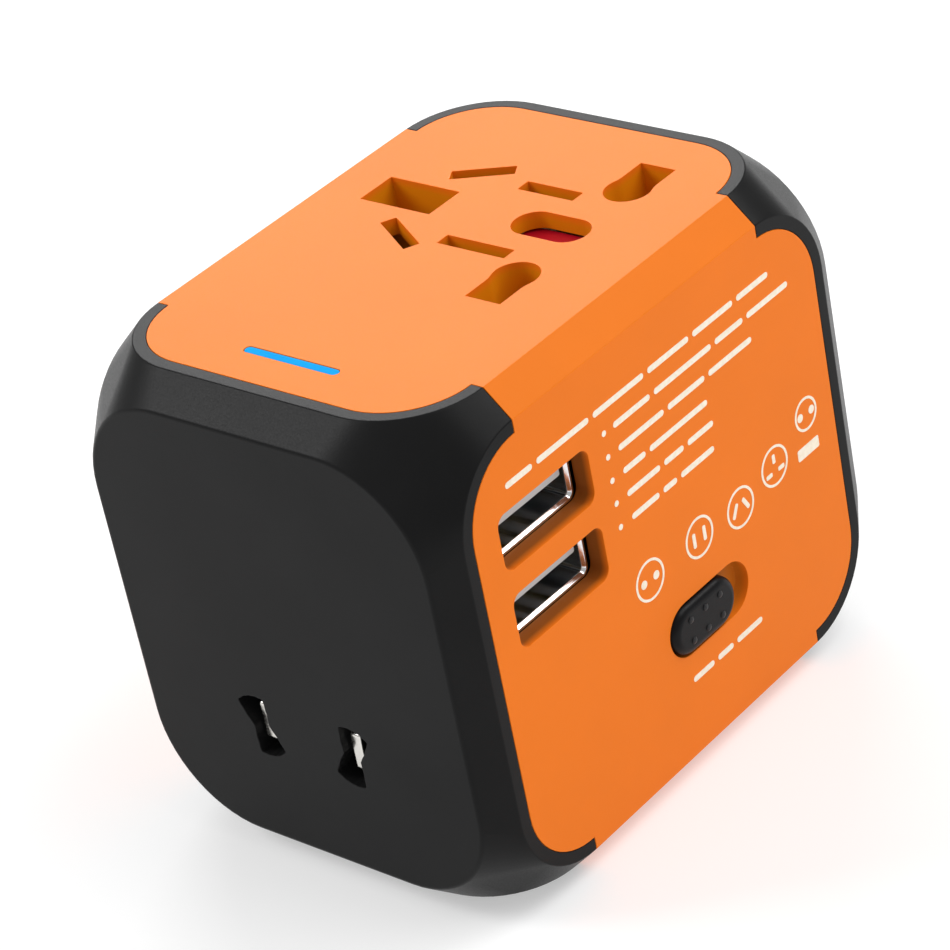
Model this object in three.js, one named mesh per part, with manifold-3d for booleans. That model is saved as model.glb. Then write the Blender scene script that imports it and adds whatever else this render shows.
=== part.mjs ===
// Universal travel adapter: a chamfered sleeve between two black end caps, a universal socket on top,
// two USB-A ports on the right, and three plug sets that slide out of the ends.
// Millimetres. +Z up to the socket face, -Y to the flat-blade end, +X to the USB side.
// The origin is at the middle of the bottom face.
import * as THREE from 'three';
import { ConvexGeometry } from 'three/addons/geometries/ConvexGeometry.js';
import { mergeVertices } from 'three/addons/utils/BufferGeometryUtils.js';
import Module from 'manifold-3d';

const wasm = await Module();
wasm.setup();

// ---------------------------------------------------------------- driving dimensions
const GAP = 0.3;                  // air between neighbouring pieces
const BITE = 0.2;                 // how far shapes that are joined run into each other
const PAST = 1;                   // how far a cutting shape runs past what it cuts
const ARC_STEPS = 6;              // facets in a quarter turn of the casing
const BORE_SIDES = 12;            // facets round a small bore or bar

// casing
const WIDTH = 50;                 // X, left face to right face
const DEPTH = 68;                 // Y, front end to rear end
const HEIGHT = 58.6;              // Z, bottom face to socket face
const CHAMFER = 3;                // flat on each long edge
const END_RUN = 3.5;              // bevel along Y between a long face and an end face
const FACE_RADIUS = 10.1;         // corners of the long faces
const END_INSET_X = 2.2;          // end face's sides, in from the left and right faces
const END_INSET_Z = 3;            // end face's top and bottom, in from the socket and bottom faces
const END_RADIUS = 12;            // corners of the end faces
const RIM = 1.5;                  // black border round each orange panel
const SLEEVE_WALL = 2;
const CAP_WALL = 2.4;
const TONGUE = 1.2;               // thickness of an orange panel where it laps a cap

// universal socket: SOCKET_X is the line through the live holes, SOCKET_Y their middle
const SOCKET_X = 11;
const SOCKET_Y = 8.14;
const EARTH_OFFSET = 22.23;       // from the live line to the earth hole
const EARTH_HOLE = [9.7, 5.2];
const LIVE_SLOT_WIDTH = 4.56;
const LIVE_SLOT_END = 15;         // outer end of a live hole, from SOCKET_Y
const ROUND_PITCH = 19.2;         // round holes, centre to centre
const ROUND_RADIUS = 2.65;
const BLADE_ROW = -7.92;          // straight blade slots, from the live line
const BLADE_SLOTS = [{ y: 6.35, length: 7.4 }, { y: -6.35, length: 9 }];
const SLANT_ROW = -17.72;         // slanted blade slots, from the live line
const SLANT_Y = 7.08;
const SLANT_LENGTH = 7.2;
const SLOT_WIDTH = 1.8;
const SLANT_ANGLE = Math.PI / 6;
const OVAL_OFFSET = -2.85;
const OVAL_HOLE = [9.5, 4.9];
const COLLAR_DEPTH = 6;           // how far the collars round the big holes reach down
const COLLAR_WALL = 1.2;
const BLOCK_DROP = 9.2;           // from the socket face down to the contact block
const BLOCK_HEIGHT = 11;
const BLOCK_POST = 3;             // square posts that hold the block off the socket face
const BLOCK_POST_X = [-26.3, -12];  // from SOCKET_X
const BLOCK_POST_Y = [-15, 10.3];   // from SOCKET_Y
const WELL_MARGIN = { x: 1.3, inner: 0.4, outer: 0.8 };   // a contact's well, round its live hole
const WELL_FLOOR = 1.2;
const CONTACT_SHEET = 0.6;
const CONTACT_INSET = 1.4;        // a contact's ends, in from the ends of its well
const CONTACT_WAIST = [6, 7.4];   // heights where a contact's cheeks bend in and come closest
const CONTACT_PINCH = 0.5;
const SHUTTER_LAP = [0.8, 0.4];   // how far the shutter covers past a live hole, along X and Y
const SHUTTER_PAD = [0.4, 0.3];   // and past the oval hole
const SHUTTER_RAMP = [7.2, 1.6];  // length and depth of the ramps that the pins push on
const SHUTTER_SPRING = { radius: 1.2, wire: 0.35, turns: 5, rise: 2.2 };

// indicator light
const LIGHT_SETBACK = 10;         // from the front face
const LIGHT_LENGTH = 12.6;
const LIGHT_WIDTH = 1.3;
const LIGHT_DEPTH = 3.2;
const LIGHT_STEM = { inset: 0.4, length: 3, width: 1.2, drop: 8.4, foot: 1.2 };
const LED_SIZE = [2.8, 2.4, 1.9];

// USB ports
const USB_Y = -18.05;
const USB_Z = [34.5, 43.7];
const USB_SHELL = [13.1, 5.7];
const USB_SHELL_WALL = 0.3;
const USB_SHELL_CORNER = 0.6;
const USB_WINDOW_MARGIN = 0.7;    // the window's width over the shell's
const USB_WINDOW_LIFT = 0.35;     // and its height, both for each side
const USB_WINDOW_CORNER = 1.3;
const USB_FRAME = 1;              // wall of the orange frame behind each window
const USB_RECESS = 2.4;           // from the right face to a port's mouth
const USB_LENGTH = 13.4;
const TONGUE_SETBACK = 0.2;       // from a port's mouth to its tongue
const USB_TONGUE = { half: 5.5, low: 0.2, high: 2 };
const USB_TONGUE_ROOT = { length: 2.4, half: 5.9, halfHeight: 2.2 };

// charger
const BOARD_THICKNESS = 1.6;
const BOARD_STANDOFF = 0.9;       // between the board and the backs of the ports
const BOARD_MARGIN = { front: 2.6, rear: 1.1, low: 7.5, top: 4.6 };
const TRANSFORMER_CORE = [14, 12.5, 11];
const TRANSFORMER_COIL = [10.4, 14.9, 7];
const TRANSFORMER_STANDOFF = 0.7;
const TRANSFORMER_RISE = 8;       // its middle, above the board's lower edge
const INPUT_CAPACITOR = { radius: 3.8, length: 13, inset: 4.8, drop: 8 };
const OUTPUT_CAPACITOR = { radius: 2.4, length: 10, inset: 3.6, drop: 10 };

// release sliders
const SLIDER_Z = 18.15;
const SLIDER_RECESS = [14, 6.4];
const SLIDER_RECESS_DEPTH = 1.5;
const SLIDER_KNOB = [11, 5.9];
const SLIDER_PROUD = 0.8;
const SLIDER_SIDE_CLEARANCE = 0.2;
const SLIDER_BEVEL = 0.5;
const RIGHT_SLIDER_Y = 3.4;
const LEFT_SLIDER_Y = 10.5;
const STEM = 3;                   // square stem through the wall
const SLIDER_SPRING = { radius: 1.05, wire: 0.35, turns: 4, length: 5.2, drop: 1.5 };
const PAD_DEPTH = 3.8;            // thickened wall behind a slider, from the side face
const PAD_MARGIN = 1.2;
const SPRING_STOP = [1.4, 2.8];   // thickness, and depth below the thickened wall

// plug sets
const BLADE_X = 6.35;
const PLUG_Z = 18;                // centre of the flat blades and of the round pins
const BLADE_SECTION = [1.5, 6.35];
const BLADE_SLOT_CLEARANCE = 0.45;
const BLADE_CHAMFER = [1.4, 1.2]; // at a blade's tip, along and across it
const BLADE_TIP_INSET = 1;
const BLADE_STROKE = 18;
const HUB_RADIUS = 4;
const HUB_THICKNESS = 1.2;
const PIVOT_RADIUS = 1.6;
const PIVOT_LENGTH = 5;
const ROUND_PIN_X = 9.5;
const ROUND_PIN_RADIUS = 2.4;
const ROUND_STROKE = 19.8;
const LONG_PIN_X = 11.1;          // rectangular live pins
const LONG_PIN_Z = 9.6;
const LONG_PIN_SECTION = [6.35, 3.97];
const LONG_EARTH_RISE = 22.23;
const LONG_EARTH_SECTION = [3.97, 7.95];
const LONG_NOSE = [1.6, 0.9];      // taper at a long pin's tip, along and across it
const TIP_INSET = 0.8;            // how far the stowed tips sit inside an end face
const PIN_ROOT = { round: 1.6, long: 1.4, short: 0.5 };   // radii, and how far short of the back
const CARRIAGE_LENGTH = 7;
const CARRIAGE_EDGE = 0.9;        // beyond the long pins, each side
const FLAT_CARRIAGE = { length: 5.5, edge: 1.45, margin: 0.4, web: 8, footHeight: 4.1 };
const ROUND_CARRIAGE = { edge: 0.7, margin: 1.4 };
const LONG_CARRIAGE = { bridge: 2.8, arm: 4, margin: 0.4 };
const GUIDE_ROD_RADIUS = 1.1;
const EJECTOR_SPRING = { radius: 2.2, wire: 0.5, turns: 4 };
const FLAT_SPRING_ROOM = 4.3;     // between the flat-blade carriage and the partition
const PARTITION = 2;              // wall between the front and rear plug sets
const CHASSIS_FLOOR = 1.5;
const CHASSIS_WALL = 1.4;
const CHASSIS_INSET = 3;          // from the ends of the long faces
const GUIDE_HEIGHT = 9.5;

// screws
const SCREW_SIDE = 5.8;           // from the side faces
const SCREW_Z = [23, 42];
const POST_LENGTH = 8.1;          // the posts that the screws bite into
const POST_WEB = 1.6;
const POST_WALL = 1.2;            // round a screw's shank
const SCREW_RADIUS = 1.1;
const SCREW_POINT = 2;
const SCREW_HEAD_RADIUS = 2;
const SCREW_HEAD = 1.4;
const SCREW_SEAT_DEPTH = 3.4;
const SCREW_LENGTH = 18;
const BOSS_WALL = 1.6;            // round a screw's shank

// fuse
const FUSE_RADIUS = 2.5;
const FUSE_LENGTH = 20;
const FUSE_FERRULE = 5;
const FUSE_STEP = 0.25;           // from a ferrule down to the tube
const FUSE_SIDE = 1.9;            // from the sleeve's wall
const FUSE_Y = 1;
const FUSE_Z = 33.5;
const CLIP = { inset: 2.6, half: 1.8, air: 0.2, sheet: 0.5, rise: 1 };
const FUSE_BASE = [5.2, 1.6];

// ---------------------------------------------------------------- derived places
const HALF_W = WIDTH / 2;
const HALF_D = DEPTH / 2;
const MID_Z = HEIGHT / 2;
const FACE_HALF_Y = HALF_D - END_RUN;
const RING_END = FACE_HALF_Y - FACE_RADIUS;
const FRONT_INNER = -HALF_D + CAP_WALL;
const REAR_INNER = HALF_D - CAP_WALL;
const FLOOR = CAP_WALL + 2 * GAP;
const FLOOR_TOP = FLOOR + CHASSIS_FLOOR;
const BLOCK_TOP = HEIGHT - BLOCK_DROP;
const BLOCK_BOTTOM = BLOCK_TOP - BLOCK_HEIGHT;
const USB_WINDOW = [USB_SHELL[0] + 2 * USB_WINDOW_MARGIN, USB_SHELL[1] + 2 * USB_WINDOW_LIFT];
const LIGHT_Y = -HALF_D + LIGHT_SETBACK;
const USB_MOUTH = HALF_W - USB_RECESS;
const BOARD_BACK = USB_MOUTH - USB_LENGTH - BOARD_STANDOFF;
const BOARD_FACE = BOARD_BACK - BOARD_THICKNESS;
const CARRIAGE_HALF_WIDTH = LONG_PIN_X + LONG_PIN_SECTION[0] / 2 + CARRIAGE_EDGE;
const SCREW_X = HALF_W - SCREW_SIDE;
const SCREW_PLACES = SCREW_Z.flatMap((z) => [[-SCREW_X, z], [SCREW_X, z]]);
const SCREW_BORE = SCREW_RADIUS + GAP;
const POST_END = RING_END - GAP;
const POST_START = POST_END - POST_LENGTH;
const HUB_FRONT = FRONT_INNER + GAP + BLADE_STROKE;
const FLAT_CARRIAGE_FRONT = HUB_FRONT + HUB_THICKNESS + GAP;
const FLAT_CARRIAGE_BACK = FLAT_CARRIAGE_FRONT + FLAT_CARRIAGE.length;
const PARTITION_FRONT = FLAT_CARRIAGE_BACK + FLAT_SPRING_ROOM;
const PARTITION_BACK = PARTITION_FRONT + PARTITION;
const REAR_CARRIAGE_END = REAR_INNER - GAP - ROUND_STROKE;
const REAR_CARRIAGE_START = REAR_CARRIAGE_END - CARRIAGE_LENGTH;
const ROUND_CARRIAGE_HALF = ROUND_PIN_X + ROUND_PIN_RADIUS + ROUND_CARRIAGE.edge;
const ROUND_CARRIAGE_RISE = ROUND_PIN_RADIUS + ROUND_CARRIAGE.margin;
const LONG_EARTH_Z = LONG_PIN_Z + LONG_EARTH_RISE;
const SLIDER_TRAVEL = SLIDER_RECESS[0] - SLIDER_KNOB[0] - 2 * SLIDER_SIDE_CLEARANCE;

// ---------------------------------------------------------------- solids
function solid(geometry) {
  const bare = geometry.clone();
  bare.deleteAttribute('normal');
  bare.deleteAttribute('uv');
  const merged = mergeVertices(bare, 1e-4);
  const vertProperties = new Float32Array(merged.attributes.position.array);
  const triVerts = new Uint32Array(merged.index.array);
  return new wasm.Manifold(new wasm.Mesh({ numProp: 3, vertProperties, triVerts }));
}

function geometryOf(body) {
  const mesh = body.getMesh();
  const geometry = new THREE.BufferGeometry();
  geometry.setAttribute('position', new THREE.BufferAttribute(new Float32Array(mesh.vertProperties), 3));
  geometry.setIndex(new THREE.BufferAttribute(new Uint32Array(mesh.triVerts), 1));
  geometry.computeVertexNormals();
  return geometry;
}

function join(first, ...others) {
  const add = (body, other) => body.add(solid(other));
  return geometryOf(others.reduce(add, solid(first)));
}

function cut(first, ...tools) {
  const subtract = (body, tool) => body.subtract(solid(tool));
  return geometryOf(tools.reduce(subtract, solid(first)));
}

function common(first, second) {
  return geometryOf(solid(first).intersect(solid(second)));
}

function box(x0, x1, y0, y1, z0, z1) {
  const geometry = new THREE.BoxGeometry(Math.abs(x1 - x0), Math.abs(y1 - y0), Math.abs(z1 - z0));
  return geometry.translate((x0 + x1) / 2, (y0 + y1) / 2, (z0 + z1) / 2);
}

// a box of some size about its middle
function block([x, y, z], [middleX, middleY, middleZ]) {
  return new THREE.BoxGeometry(x, y, z).translate(middleX, middleY, middleZ);
}

function outline(points) {
  return new THREE.Shape(points.map(([u, v]) => new THREE.Vector2(u, v)));
}

// a closed profile of radius and place, turned about Y
function turned(profile, sides = BORE_SIDES) {
  return new THREE.LatheGeometry(profile.map(([r, y]) => new THREE.Vector2(r, y)), sides);
}

function roundRect(halfU, halfV, radius) {
  const r = Math.min(radius, halfU - 0.01, halfV - 0.01);
  const shape = new THREE.Shape();
  shape.absarc(halfU - r, halfV - r, r, 0, Math.PI / 2);
  shape.absarc(-halfU + r, halfV - r, r, Math.PI / 2, Math.PI);
  shape.absarc(-halfU + r, -halfV + r, r, Math.PI, 1.5 * Math.PI);
  shape.absarc(halfU - r, -halfV + r, r, 1.5 * Math.PI, 2 * Math.PI);
  return shape;
}

function extrude(shape, depth, arcSteps = ARC_STEPS) {
  return new THREE.ExtrudeGeometry(shape, { depth, bevelEnabled: false, curveSegments: arcSteps });
}

// an outline drawn in X and Y, from z0 up to z1
function prismZ(shape, z0, z1, arcSteps) {
  return extrude(shape, z1 - z0, arcSteps).translate(0, 0, z0);
}

// an outline drawn in X and Z, from y0 to y1
function prismY(shape, y0, y1, arcSteps) {
  return extrude(shape, y1 - y0, arcSteps).rotateX(Math.PI / 2).translate(0, y1, 0);
}

// an outline drawn in Y and Z, from x0 to x1
function prismX(shape, x0, x1, arcSteps) {
  const turn = new THREE.Matrix4().makeBasis(
    new THREE.Vector3(0, 1, 0), new THREE.Vector3(0, 0, 1), new THREE.Vector3(1, 0, 0));
  return extrude(shape, x1 - x0, arcSteps).applyMatrix4(turn).translate(x0, 0, 0);
}

// a round bar along Y
function barY(radius, y0, y1, sides = BORE_SIDES) {
  const geometry = new THREE.CylinderGeometry(radius, radius, y1 - y0, sides);
  return geometry.translate(0, (y0 + y1) / 2, 0);
}

// an open coil along Y, from y0 to y1
class CoilPath extends THREE.Curve {
  constructor(radius, y0, y1, turns) {
    super();
    Object.assign(this, { radius, y0, y1, turns });
  }

  getPoint(t, target = new THREE.Vector3()) {
    const angle = 2 * Math.PI * this.turns * t;
    const y = this.y0 + (this.y1 - this.y0) * t;
    return target.set(this.radius * Math.cos(angle), y, this.radius * Math.sin(angle));
  }
}

function coilY(radius, wire, y0, y1, turns) {
  const section = new THREE.Shape();
  section.absarc(0, 0, wire / 2, 0, 2 * Math.PI);
  const path = new CoilPath(radius, y0 + wire / 2, y1 - wire / 2, turns);
  return new THREE.ExtrudeGeometry(section, {
    steps: turns * 6, curveSegments: 3, bevelEnabled: false, extrudePath: path });
}

// ---------------------------------------------------------------- scene graph
const adapter = new THREE.Group();

function material(color, roughness, metalness = 0) {
  return new THREE.MeshStandardMaterial({ color, roughness, metalness });
}

const FINISH = {
  orange: () => material(0xee7a22, 0.42),
  black: () => material(0x2b2b2b, 0.5),
  knob: () => material(0x1e1e1e, 0.6),
  grey: () => material(0xc8c8c6, 0.6),
  red: () => material(0xb01225, 0.4),
  lens: () => material(0x1fa5ee, 0.2),
  ivory: () => material(0xe8e4d8, 0.6),
  nickel: () => material(0xc9c9c6, 0.25, 1),
  brass: () => material(0xc9a24a, 0.3, 1),
  steel: () => material(0x9a9ca0, 0.35, 1),
  board: () => material(0x1c6b3a, 0.5),
  amber: () => material(0xd9a520, 0.6),
  aluminium: () => material(0xb8bcc2, 0.35, 1),
  ceramic: () => material(0xefece4, 0.4),
};

function add(name, geometry, finish, place = [0, 0, 0], parent = adapter) {
  const mesh = new THREE.Mesh(geometry, FINISH[finish]());
  mesh.name = name;
  mesh.position.set(...place);
  parent.add(mesh);
  return mesh;
}

// ---------------------------------------------------------------- casing
const CORNERS = [[1, 1], [-1, 1], [-1, -1], [1, -1]];

function arcPoints(halfU, halfV, radius, place) {
  const points = [];
  for (const [quarter, [su, sv]] of CORNERS.entries()) {
    for (let k = 0; k <= ARC_STEPS; k += 1) {
      const angle = Math.PI / 2 * (quarter + k / ARC_STEPS);
      const u = su * (halfU - radius) + radius * Math.cos(angle);
      const v = sv * (halfV - radius) + radius * Math.sin(angle);
      points.push(place(u, v));
    }
  }
  return points;
}

// the outer form, or the same form with every face moved in
function envelope(inset) {
  const edge = inset * Math.tan(Math.PI / 8);
  const halfX = HALF_W - CHAMFER - edge;
  const halfZ = MID_Z - CHAMFER - edge;
  const halfY = FACE_HALF_Y - edge;
  const points = [];
  for (const side of [-1, 1]) {
    const x = side * (HALF_W - inset);
    const y = side * (HALF_D - inset);
    const z = MID_Z + side * (MID_Z - inset);
    points.push(
      ...arcPoints(halfX, halfY, FACE_RADIUS - edge, (u, v) => new THREE.Vector3(u, v, z)),
      ...arcPoints(halfY, halfZ, FACE_RADIUS - edge, (u, v) => new THREE.Vector3(x, u, MID_Z + v)),
      ...arcPoints(HALF_W - END_INSET_X - edge, MID_Z - END_INSET_Z - edge, END_RADIUS - edge,
        (u, v) => new THREE.Vector3(u, y, MID_Z + v)));
  }
  return new ConvexGeometry(points);
}

// the four orange panels, grown all round by some clearance and carried outwards by some more
function panels(grow, outwards) {
  const radius = FACE_RADIUS - RIM + grow;
  const halfY = FACE_HALF_Y - RIM + grow;
  const flat = roundRect(HALF_W - CHAMFER - RIM + grow, halfY, radius);
  const upright = roundRect(halfY, MID_Z - CHAMFER - RIM + grow, radius);
  const thick = TONGUE + grow;
  return [
    prismZ(flat, HEIGHT - thick, HEIGHT + outwards),
    prismZ(flat, -outwards, thick),
    prismX(upright, HALF_W - thick, HALF_W + outwards).translate(0, 0, MID_Z),
    prismX(upright, -HALF_W - outwards, -HALF_W + thick).translate(0, 0, MID_Z),
  ];
}

// a rectangular live slot that runs into a round hole nearer the middle
function liveHole(side, grow, z0, z1) {
  const half = LIVE_SLOT_WIDTH / 2 + grow;
  const pitch = ROUND_PITCH / 2;
  const slot = box(-half, half, side * pitch, side * (LIVE_SLOT_END + grow), z0, z1);
  const circle = new THREE.Shape();
  circle.absarc(0, side * pitch, ROUND_RADIUS + grow, 0, 2 * Math.PI);
  return join(slot, prismZ(circle, z0, z1, 8)).translate(SOCKET_X, SOCKET_Y, 0);
}

function earthHole(grow, z0, z1) {
  const [x, y] = EARTH_HOLE;
  const size = [x + 2 * grow, y + 2 * grow, z1 - z0];
  return block(size, [SOCKET_X - EARTH_OFFSET, SOCKET_Y, (z0 + z1) / 2]);
}

function bladeHoles(z0, z1) {
  const tools = BLADE_SLOTS.map(({ y, length }) => {
    const slot = block([length, SLOT_WIDTH, z1 - z0], [0, 0, (z0 + z1) / 2]);
    return slot.translate(SOCKET_X + BLADE_ROW, SOCKET_Y + y, 0);
  });
  for (const side of [-1, 1]) {
    const slot = block([SLANT_LENGTH, SLOT_WIDTH, z1 - z0], [0, 0, (z0 + z1) / 2]);
    slot.rotateZ(side * SLANT_ANGLE);
    tools.push(slot.translate(SOCKET_X + SLANT_ROW, SOCKET_Y + side * SLANT_Y, 0));
  }
  return tools;
}

function ovalHole(z0, z1) {
  const [x, y] = OVAL_HOLE;
  return prismZ(roundRect(x / 2, y / 2, y / 2), z0, z1).translate(SOCKET_X + OVAL_OFFSET, SOCKET_Y, 0);
}

function lightSlot(grow, z0, z1) {
  const shape = roundRect(LIGHT_LENGTH / 2 + grow, LIGHT_WIDTH / 2 + grow, LIGHT_WIDTH);
  return prismZ(shape, z0, z1, 4).translate(0, LIGHT_Y, 0);
}

function usbWindows(grow, x0, x1) {
  const [y, height] = USB_WINDOW;
  const shape = roundRect(y / 2 + grow, height / 2 + grow, USB_WINDOW_CORNER + grow);
  return USB_Z.map((z) => prismX(shape, x0, x1, 3).translate(0, USB_Y, z));
}

// ---------------------------------------------------------------- release sliders
// Local frame: X out of the side face, Y along the slider's travel, origin at the recess centre.
// Each slider rests at one end of its recess and moves `way` along Y.
const SLIDERS = [
  { set: 'round_pin', side: 1, y: RIGHT_SLIDER_Y, way: 1 },
  { set: 'flat_blade', side: -1, y: -LEFT_SLIDER_Y, way: 1 },
  { set: 'long_pin', side: -1, y: LEFT_SLIDER_Y, way: -1 },
];

function stadium([length, height], inset = 0) {
  return roundRect(length / 2 - inset, height / 2 - inset, height / 2);
}

function placeSlider(geometry, { side, y }) {
  if (side < 0) {
    geometry.rotateZ(Math.PI);
  }
  return geometry.translate(side * HALF_W, y, SLIDER_Z);
}

function sliderRest(way) {
  return -way * SLIDER_TRAVEL / 2;
}

// the thickened wall behind a slider, and the stop that its spring pushes on
function sliderPad(slider) {
  const [length, height] = SLIDER_RECESS;
  const [stopThickness, stopDrop] = SPRING_STOP;
  const halfHeight = height / 2 + PAD_MARGIN;
  const pad = roundRect(length / 2 + PAD_MARGIN, halfHeight, halfHeight);
  const near = sliderRest(slider.way) + slider.way * (STEM / 2 + SLIDER_SPRING.length + GAP);
  const stop = box(-PAD_DEPTH - stopDrop, -SLEEVE_WALL, near, near + slider.way * stopThickness,
    -STEM / 2, STEM / 2);
  const plate = prismX(pad, -PAD_DEPTH, -SLEEVE_WALL + BITE, 3);
  return [placeSlider(plate, slider), placeSlider(stop, slider)];
}

function sliderCuts(slider) {
  const recess = prismX(stadium(SLIDER_RECESS), -SLIDER_RECESS_DEPTH, PAST, 5);
  const halfSlot = STEM / 2 + SLIDER_TRAVEL / 2 + GAP;
  const halfStem = STEM / 2 + GAP;
  const slot = box(-PAD_DEPTH - PAST, PAST, -halfSlot, halfSlot, -halfStem, halfStem);
  return [placeSlider(recess, slider), placeSlider(slot, slider)];
}

function sliderKnob(slider) {
  const low = -SLIDER_RECESS_DEPTH + GAP;
  const body = prismX(stadium(SLIDER_KNOB), low, SLIDER_PROUD - SLIDER_BEVEL, 5);
  const top = prismX(stadium(SLIDER_KNOB, SLIDER_BEVEL), low, SLIDER_PROUD, 5);
  const nose = HALF_W - CARRIAGE_HALF_WIDTH - 1.5 * GAP;
  const stem = box(-nose, low + BITE, -STEM / 2, STEM / 2, -STEM / 2, STEM / 2);
  return placeSlider(join(body, top, stem).translate(0, sliderRest(slider.way), 0), slider);
}

function sliderSpring(slider) {
  const { radius, wire, turns, length, drop } = SLIDER_SPRING;
  const near = sliderRest(slider.way) + slider.way * (STEM / 2 + GAP / 2);
  const far = near + slider.way * length;
  const coil = coilY(radius, wire, Math.min(near, far), Math.max(near, far), turns);
  return placeSlider(coil.translate(-PAD_DEPTH - drop, 0, 0), slider);
}

// ---------------------------------------------------------------- sleeve and caps
// a post for a screw, with a web to the side wall
function screwPost([x, z]) {
  const post = barY(SCREW_RADIUS + POST_WALL, POST_START, POST_END);
  const side = Math.sign(x);
  const wall = side * (HALF_W - SLEEVE_WALL + BITE);
  const web = box(x, wall, POST_START, POST_END, z - POST_WEB / 2, z + POST_WEB / 2);
  return [post.translate(x, 0, z), web];
}

function sleeve() {
  const ring = common(envelope(0), box(-HALF_W, HALF_W, -RING_END, RING_END, 0, HEIGHT));
  const tube = cut(ring, envelope(SLEEVE_WALL));
  const under = HEIGHT - BITE;
  const collarFoot = HEIGHT - COLLAR_DEPTH;
  const above = HEIGHT + PAST;
  const below = HEIGHT - SLEEVE_WALL - 2 * PAST;
  const additions = [
    ...panels(0, 0),
    liveHole(1, COLLAR_WALL, collarFoot, under),
    liveHole(-1, COLLAR_WALL, collarFoot, under),
    earthHole(COLLAR_WALL, collarFoot, under),
    ...usbWindows(USB_FRAME, USB_MOUTH, HALF_W - BITE),
    ...SLIDERS.flatMap(sliderPad),
    ...SCREW_PLACES.flatMap(screwPost),
  ];
  const cuts = [
    liveHole(1, 0, collarFoot - PAST, above),
    liveHole(-1, 0, collarFoot - PAST, above),
    earthHole(0, collarFoot - PAST, above),
    ...bladeHoles(below, above),
    ovalHole(below, above),
    lightSlot(0.1, below, above),
    ...usbWindows(0, USB_MOUTH - PAST, HALF_W + PAST),
    ...SLIDERS.flatMap(sliderCuts),
    ...SCREW_PLACES.map(([x, z]) => barY(SCREW_BORE, 0, HALF_D, 10).translate(x, 0, z)),
  ];
  return cut(join(tube, ...additions), ...cuts);
}

function cap(side) {
  const start = RING_END + GAP;
  const slice = box(-HALF_W, HALF_W, side * start, side * HALF_D, 0, HEIGHT);
  return cut(common(envelope(0), slice), envelope(CAP_WALL), ...panels(GAP, PAST));
}

// the room that a blade sweeps as it turns from straight to slanted
function sweptSlot(side) {
  const halfT = BLADE_SECTION[0] / 2 + GAP;
  const halfL = BLADE_SECTION[1] / 2 + BLADE_SLOT_CLEARANCE;
  const halves = [1, -1].map((up) => {
    const points = [];
    for (const angle of [0, SLANT_ANGLE]) {
      for (const [u, v] of [[-halfT, 0], [halfT, 0], [-halfT, up * halfL], [halfT, up * halfL]]) {
        const x = side * (u * Math.cos(angle) + v * Math.sin(angle));
        const z = -u * Math.sin(angle) + v * Math.cos(angle);
        points.push(new THREE.Vector3(x, -HALF_D - PAST, z), new THREE.Vector3(x, FRONT_INNER + PAST, z));
      }
    }
    return new ConvexGeometry(points);
  });
  return join(...halves).translate(side * BLADE_X, 0, PLUG_Z);
}

function frontCap() {
  return cut(cap(-1), sweptSlot(1), sweptSlot(-1),
    lightSlot(GAP, HEIGHT - CAP_WALL - PAST, HEIGHT + PAST),
    ...usbWindows(USB_FRAME + GAP, HALF_W - CAP_WALL - 3 * PAST, HALF_W + PAST));
}

function longPinHole(x, z, [width, height]) {
  const size = [width + 2 * GAP, CAP_WALL + 2 * PAST, height + 2 * GAP];
  return block(size, [x, HALF_D - CAP_WALL / 2, z]);
}

function rearCap() {
  const bosses = SCREW_PLACES.map(([x, z]) => {
    const boss = barY(SCREW_RADIUS + BOSS_WALL, RING_END + GAP, REAR_INNER + PAST, 16);
    return boss.translate(x, 0, z);
  });
  const screwCuts = SCREW_PLACES.flatMap(([x, z]) => [
    barY(SCREW_BORE, 0, HALF_D + PAST, 10).translate(x, 0, z),
    barY(SCREW_HEAD_RADIUS + GAP, HALF_D - SCREW_SEAT_DEPTH, HALF_D + PAST, 16).translate(x, 0, z),
  ]);
  const roundHole = barY(ROUND_PIN_RADIUS + GAP, REAR_INNER - PAST, HALF_D + PAST, 20);
  const pinCuts = [-1, 1].flatMap((side) => [
    roundHole.clone().translate(side * ROUND_PIN_X, 0, PLUG_Z),
    longPinHole(side * LONG_PIN_X, LONG_PIN_Z, LONG_PIN_SECTION),
  ]);
  return cut(join(cap(1), ...bosses), ...screwCuts, ...pinCuts,
    longPinHole(0, LONG_EARTH_Z, LONG_EARTH_SECTION),
    liveHole(1, COLLAR_WALL + GAP, HEIGHT - COLLAR_DEPTH - PAST, HEIGHT));
}

add('body_sleeve', sleeve(), 'orange');
add('front_cap', frontCap(), 'black');
add('rear_cap', rearCap(), 'black');

function screw() {
  const seat = HALF_D - SCREW_SEAT_DEPTH + 0.1;
  const point = seat - SCREW_LENGTH;
  const top = seat + SCREW_HEAD;
  return turned([
    [0, point], [SCREW_RADIUS / 2, point], [SCREW_RADIUS, point + SCREW_POINT], [SCREW_RADIUS, seat],
    [SCREW_HEAD_RADIUS, seat], [SCREW_HEAD_RADIUS, top - 0.4 * SCREW_HEAD],
    [0.7 * SCREW_HEAD_RADIUS, top], [0, top]]);
}

for (const [i, [x, z]] of SCREW_PLACES.entries()) {
  add(`cap_screw_${i + 1}`, screw(), 'steel', [x, 0, z]);
}

// ---------------------------------------------------------------- universal socket
// where a contact's well lies in the block, from the middle of the live holes
const WELL = {
  half: LIVE_SLOT_WIDTH / 2 + WELL_MARGIN.x,
  near: ROUND_PITCH / 2 - ROUND_RADIUS - WELL_MARGIN.inner,
  far: LIVE_SLOT_END + WELL_MARGIN.outer,
  floor: BLOCK_BOTTOM + WELL_FLOOR,
};

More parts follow.
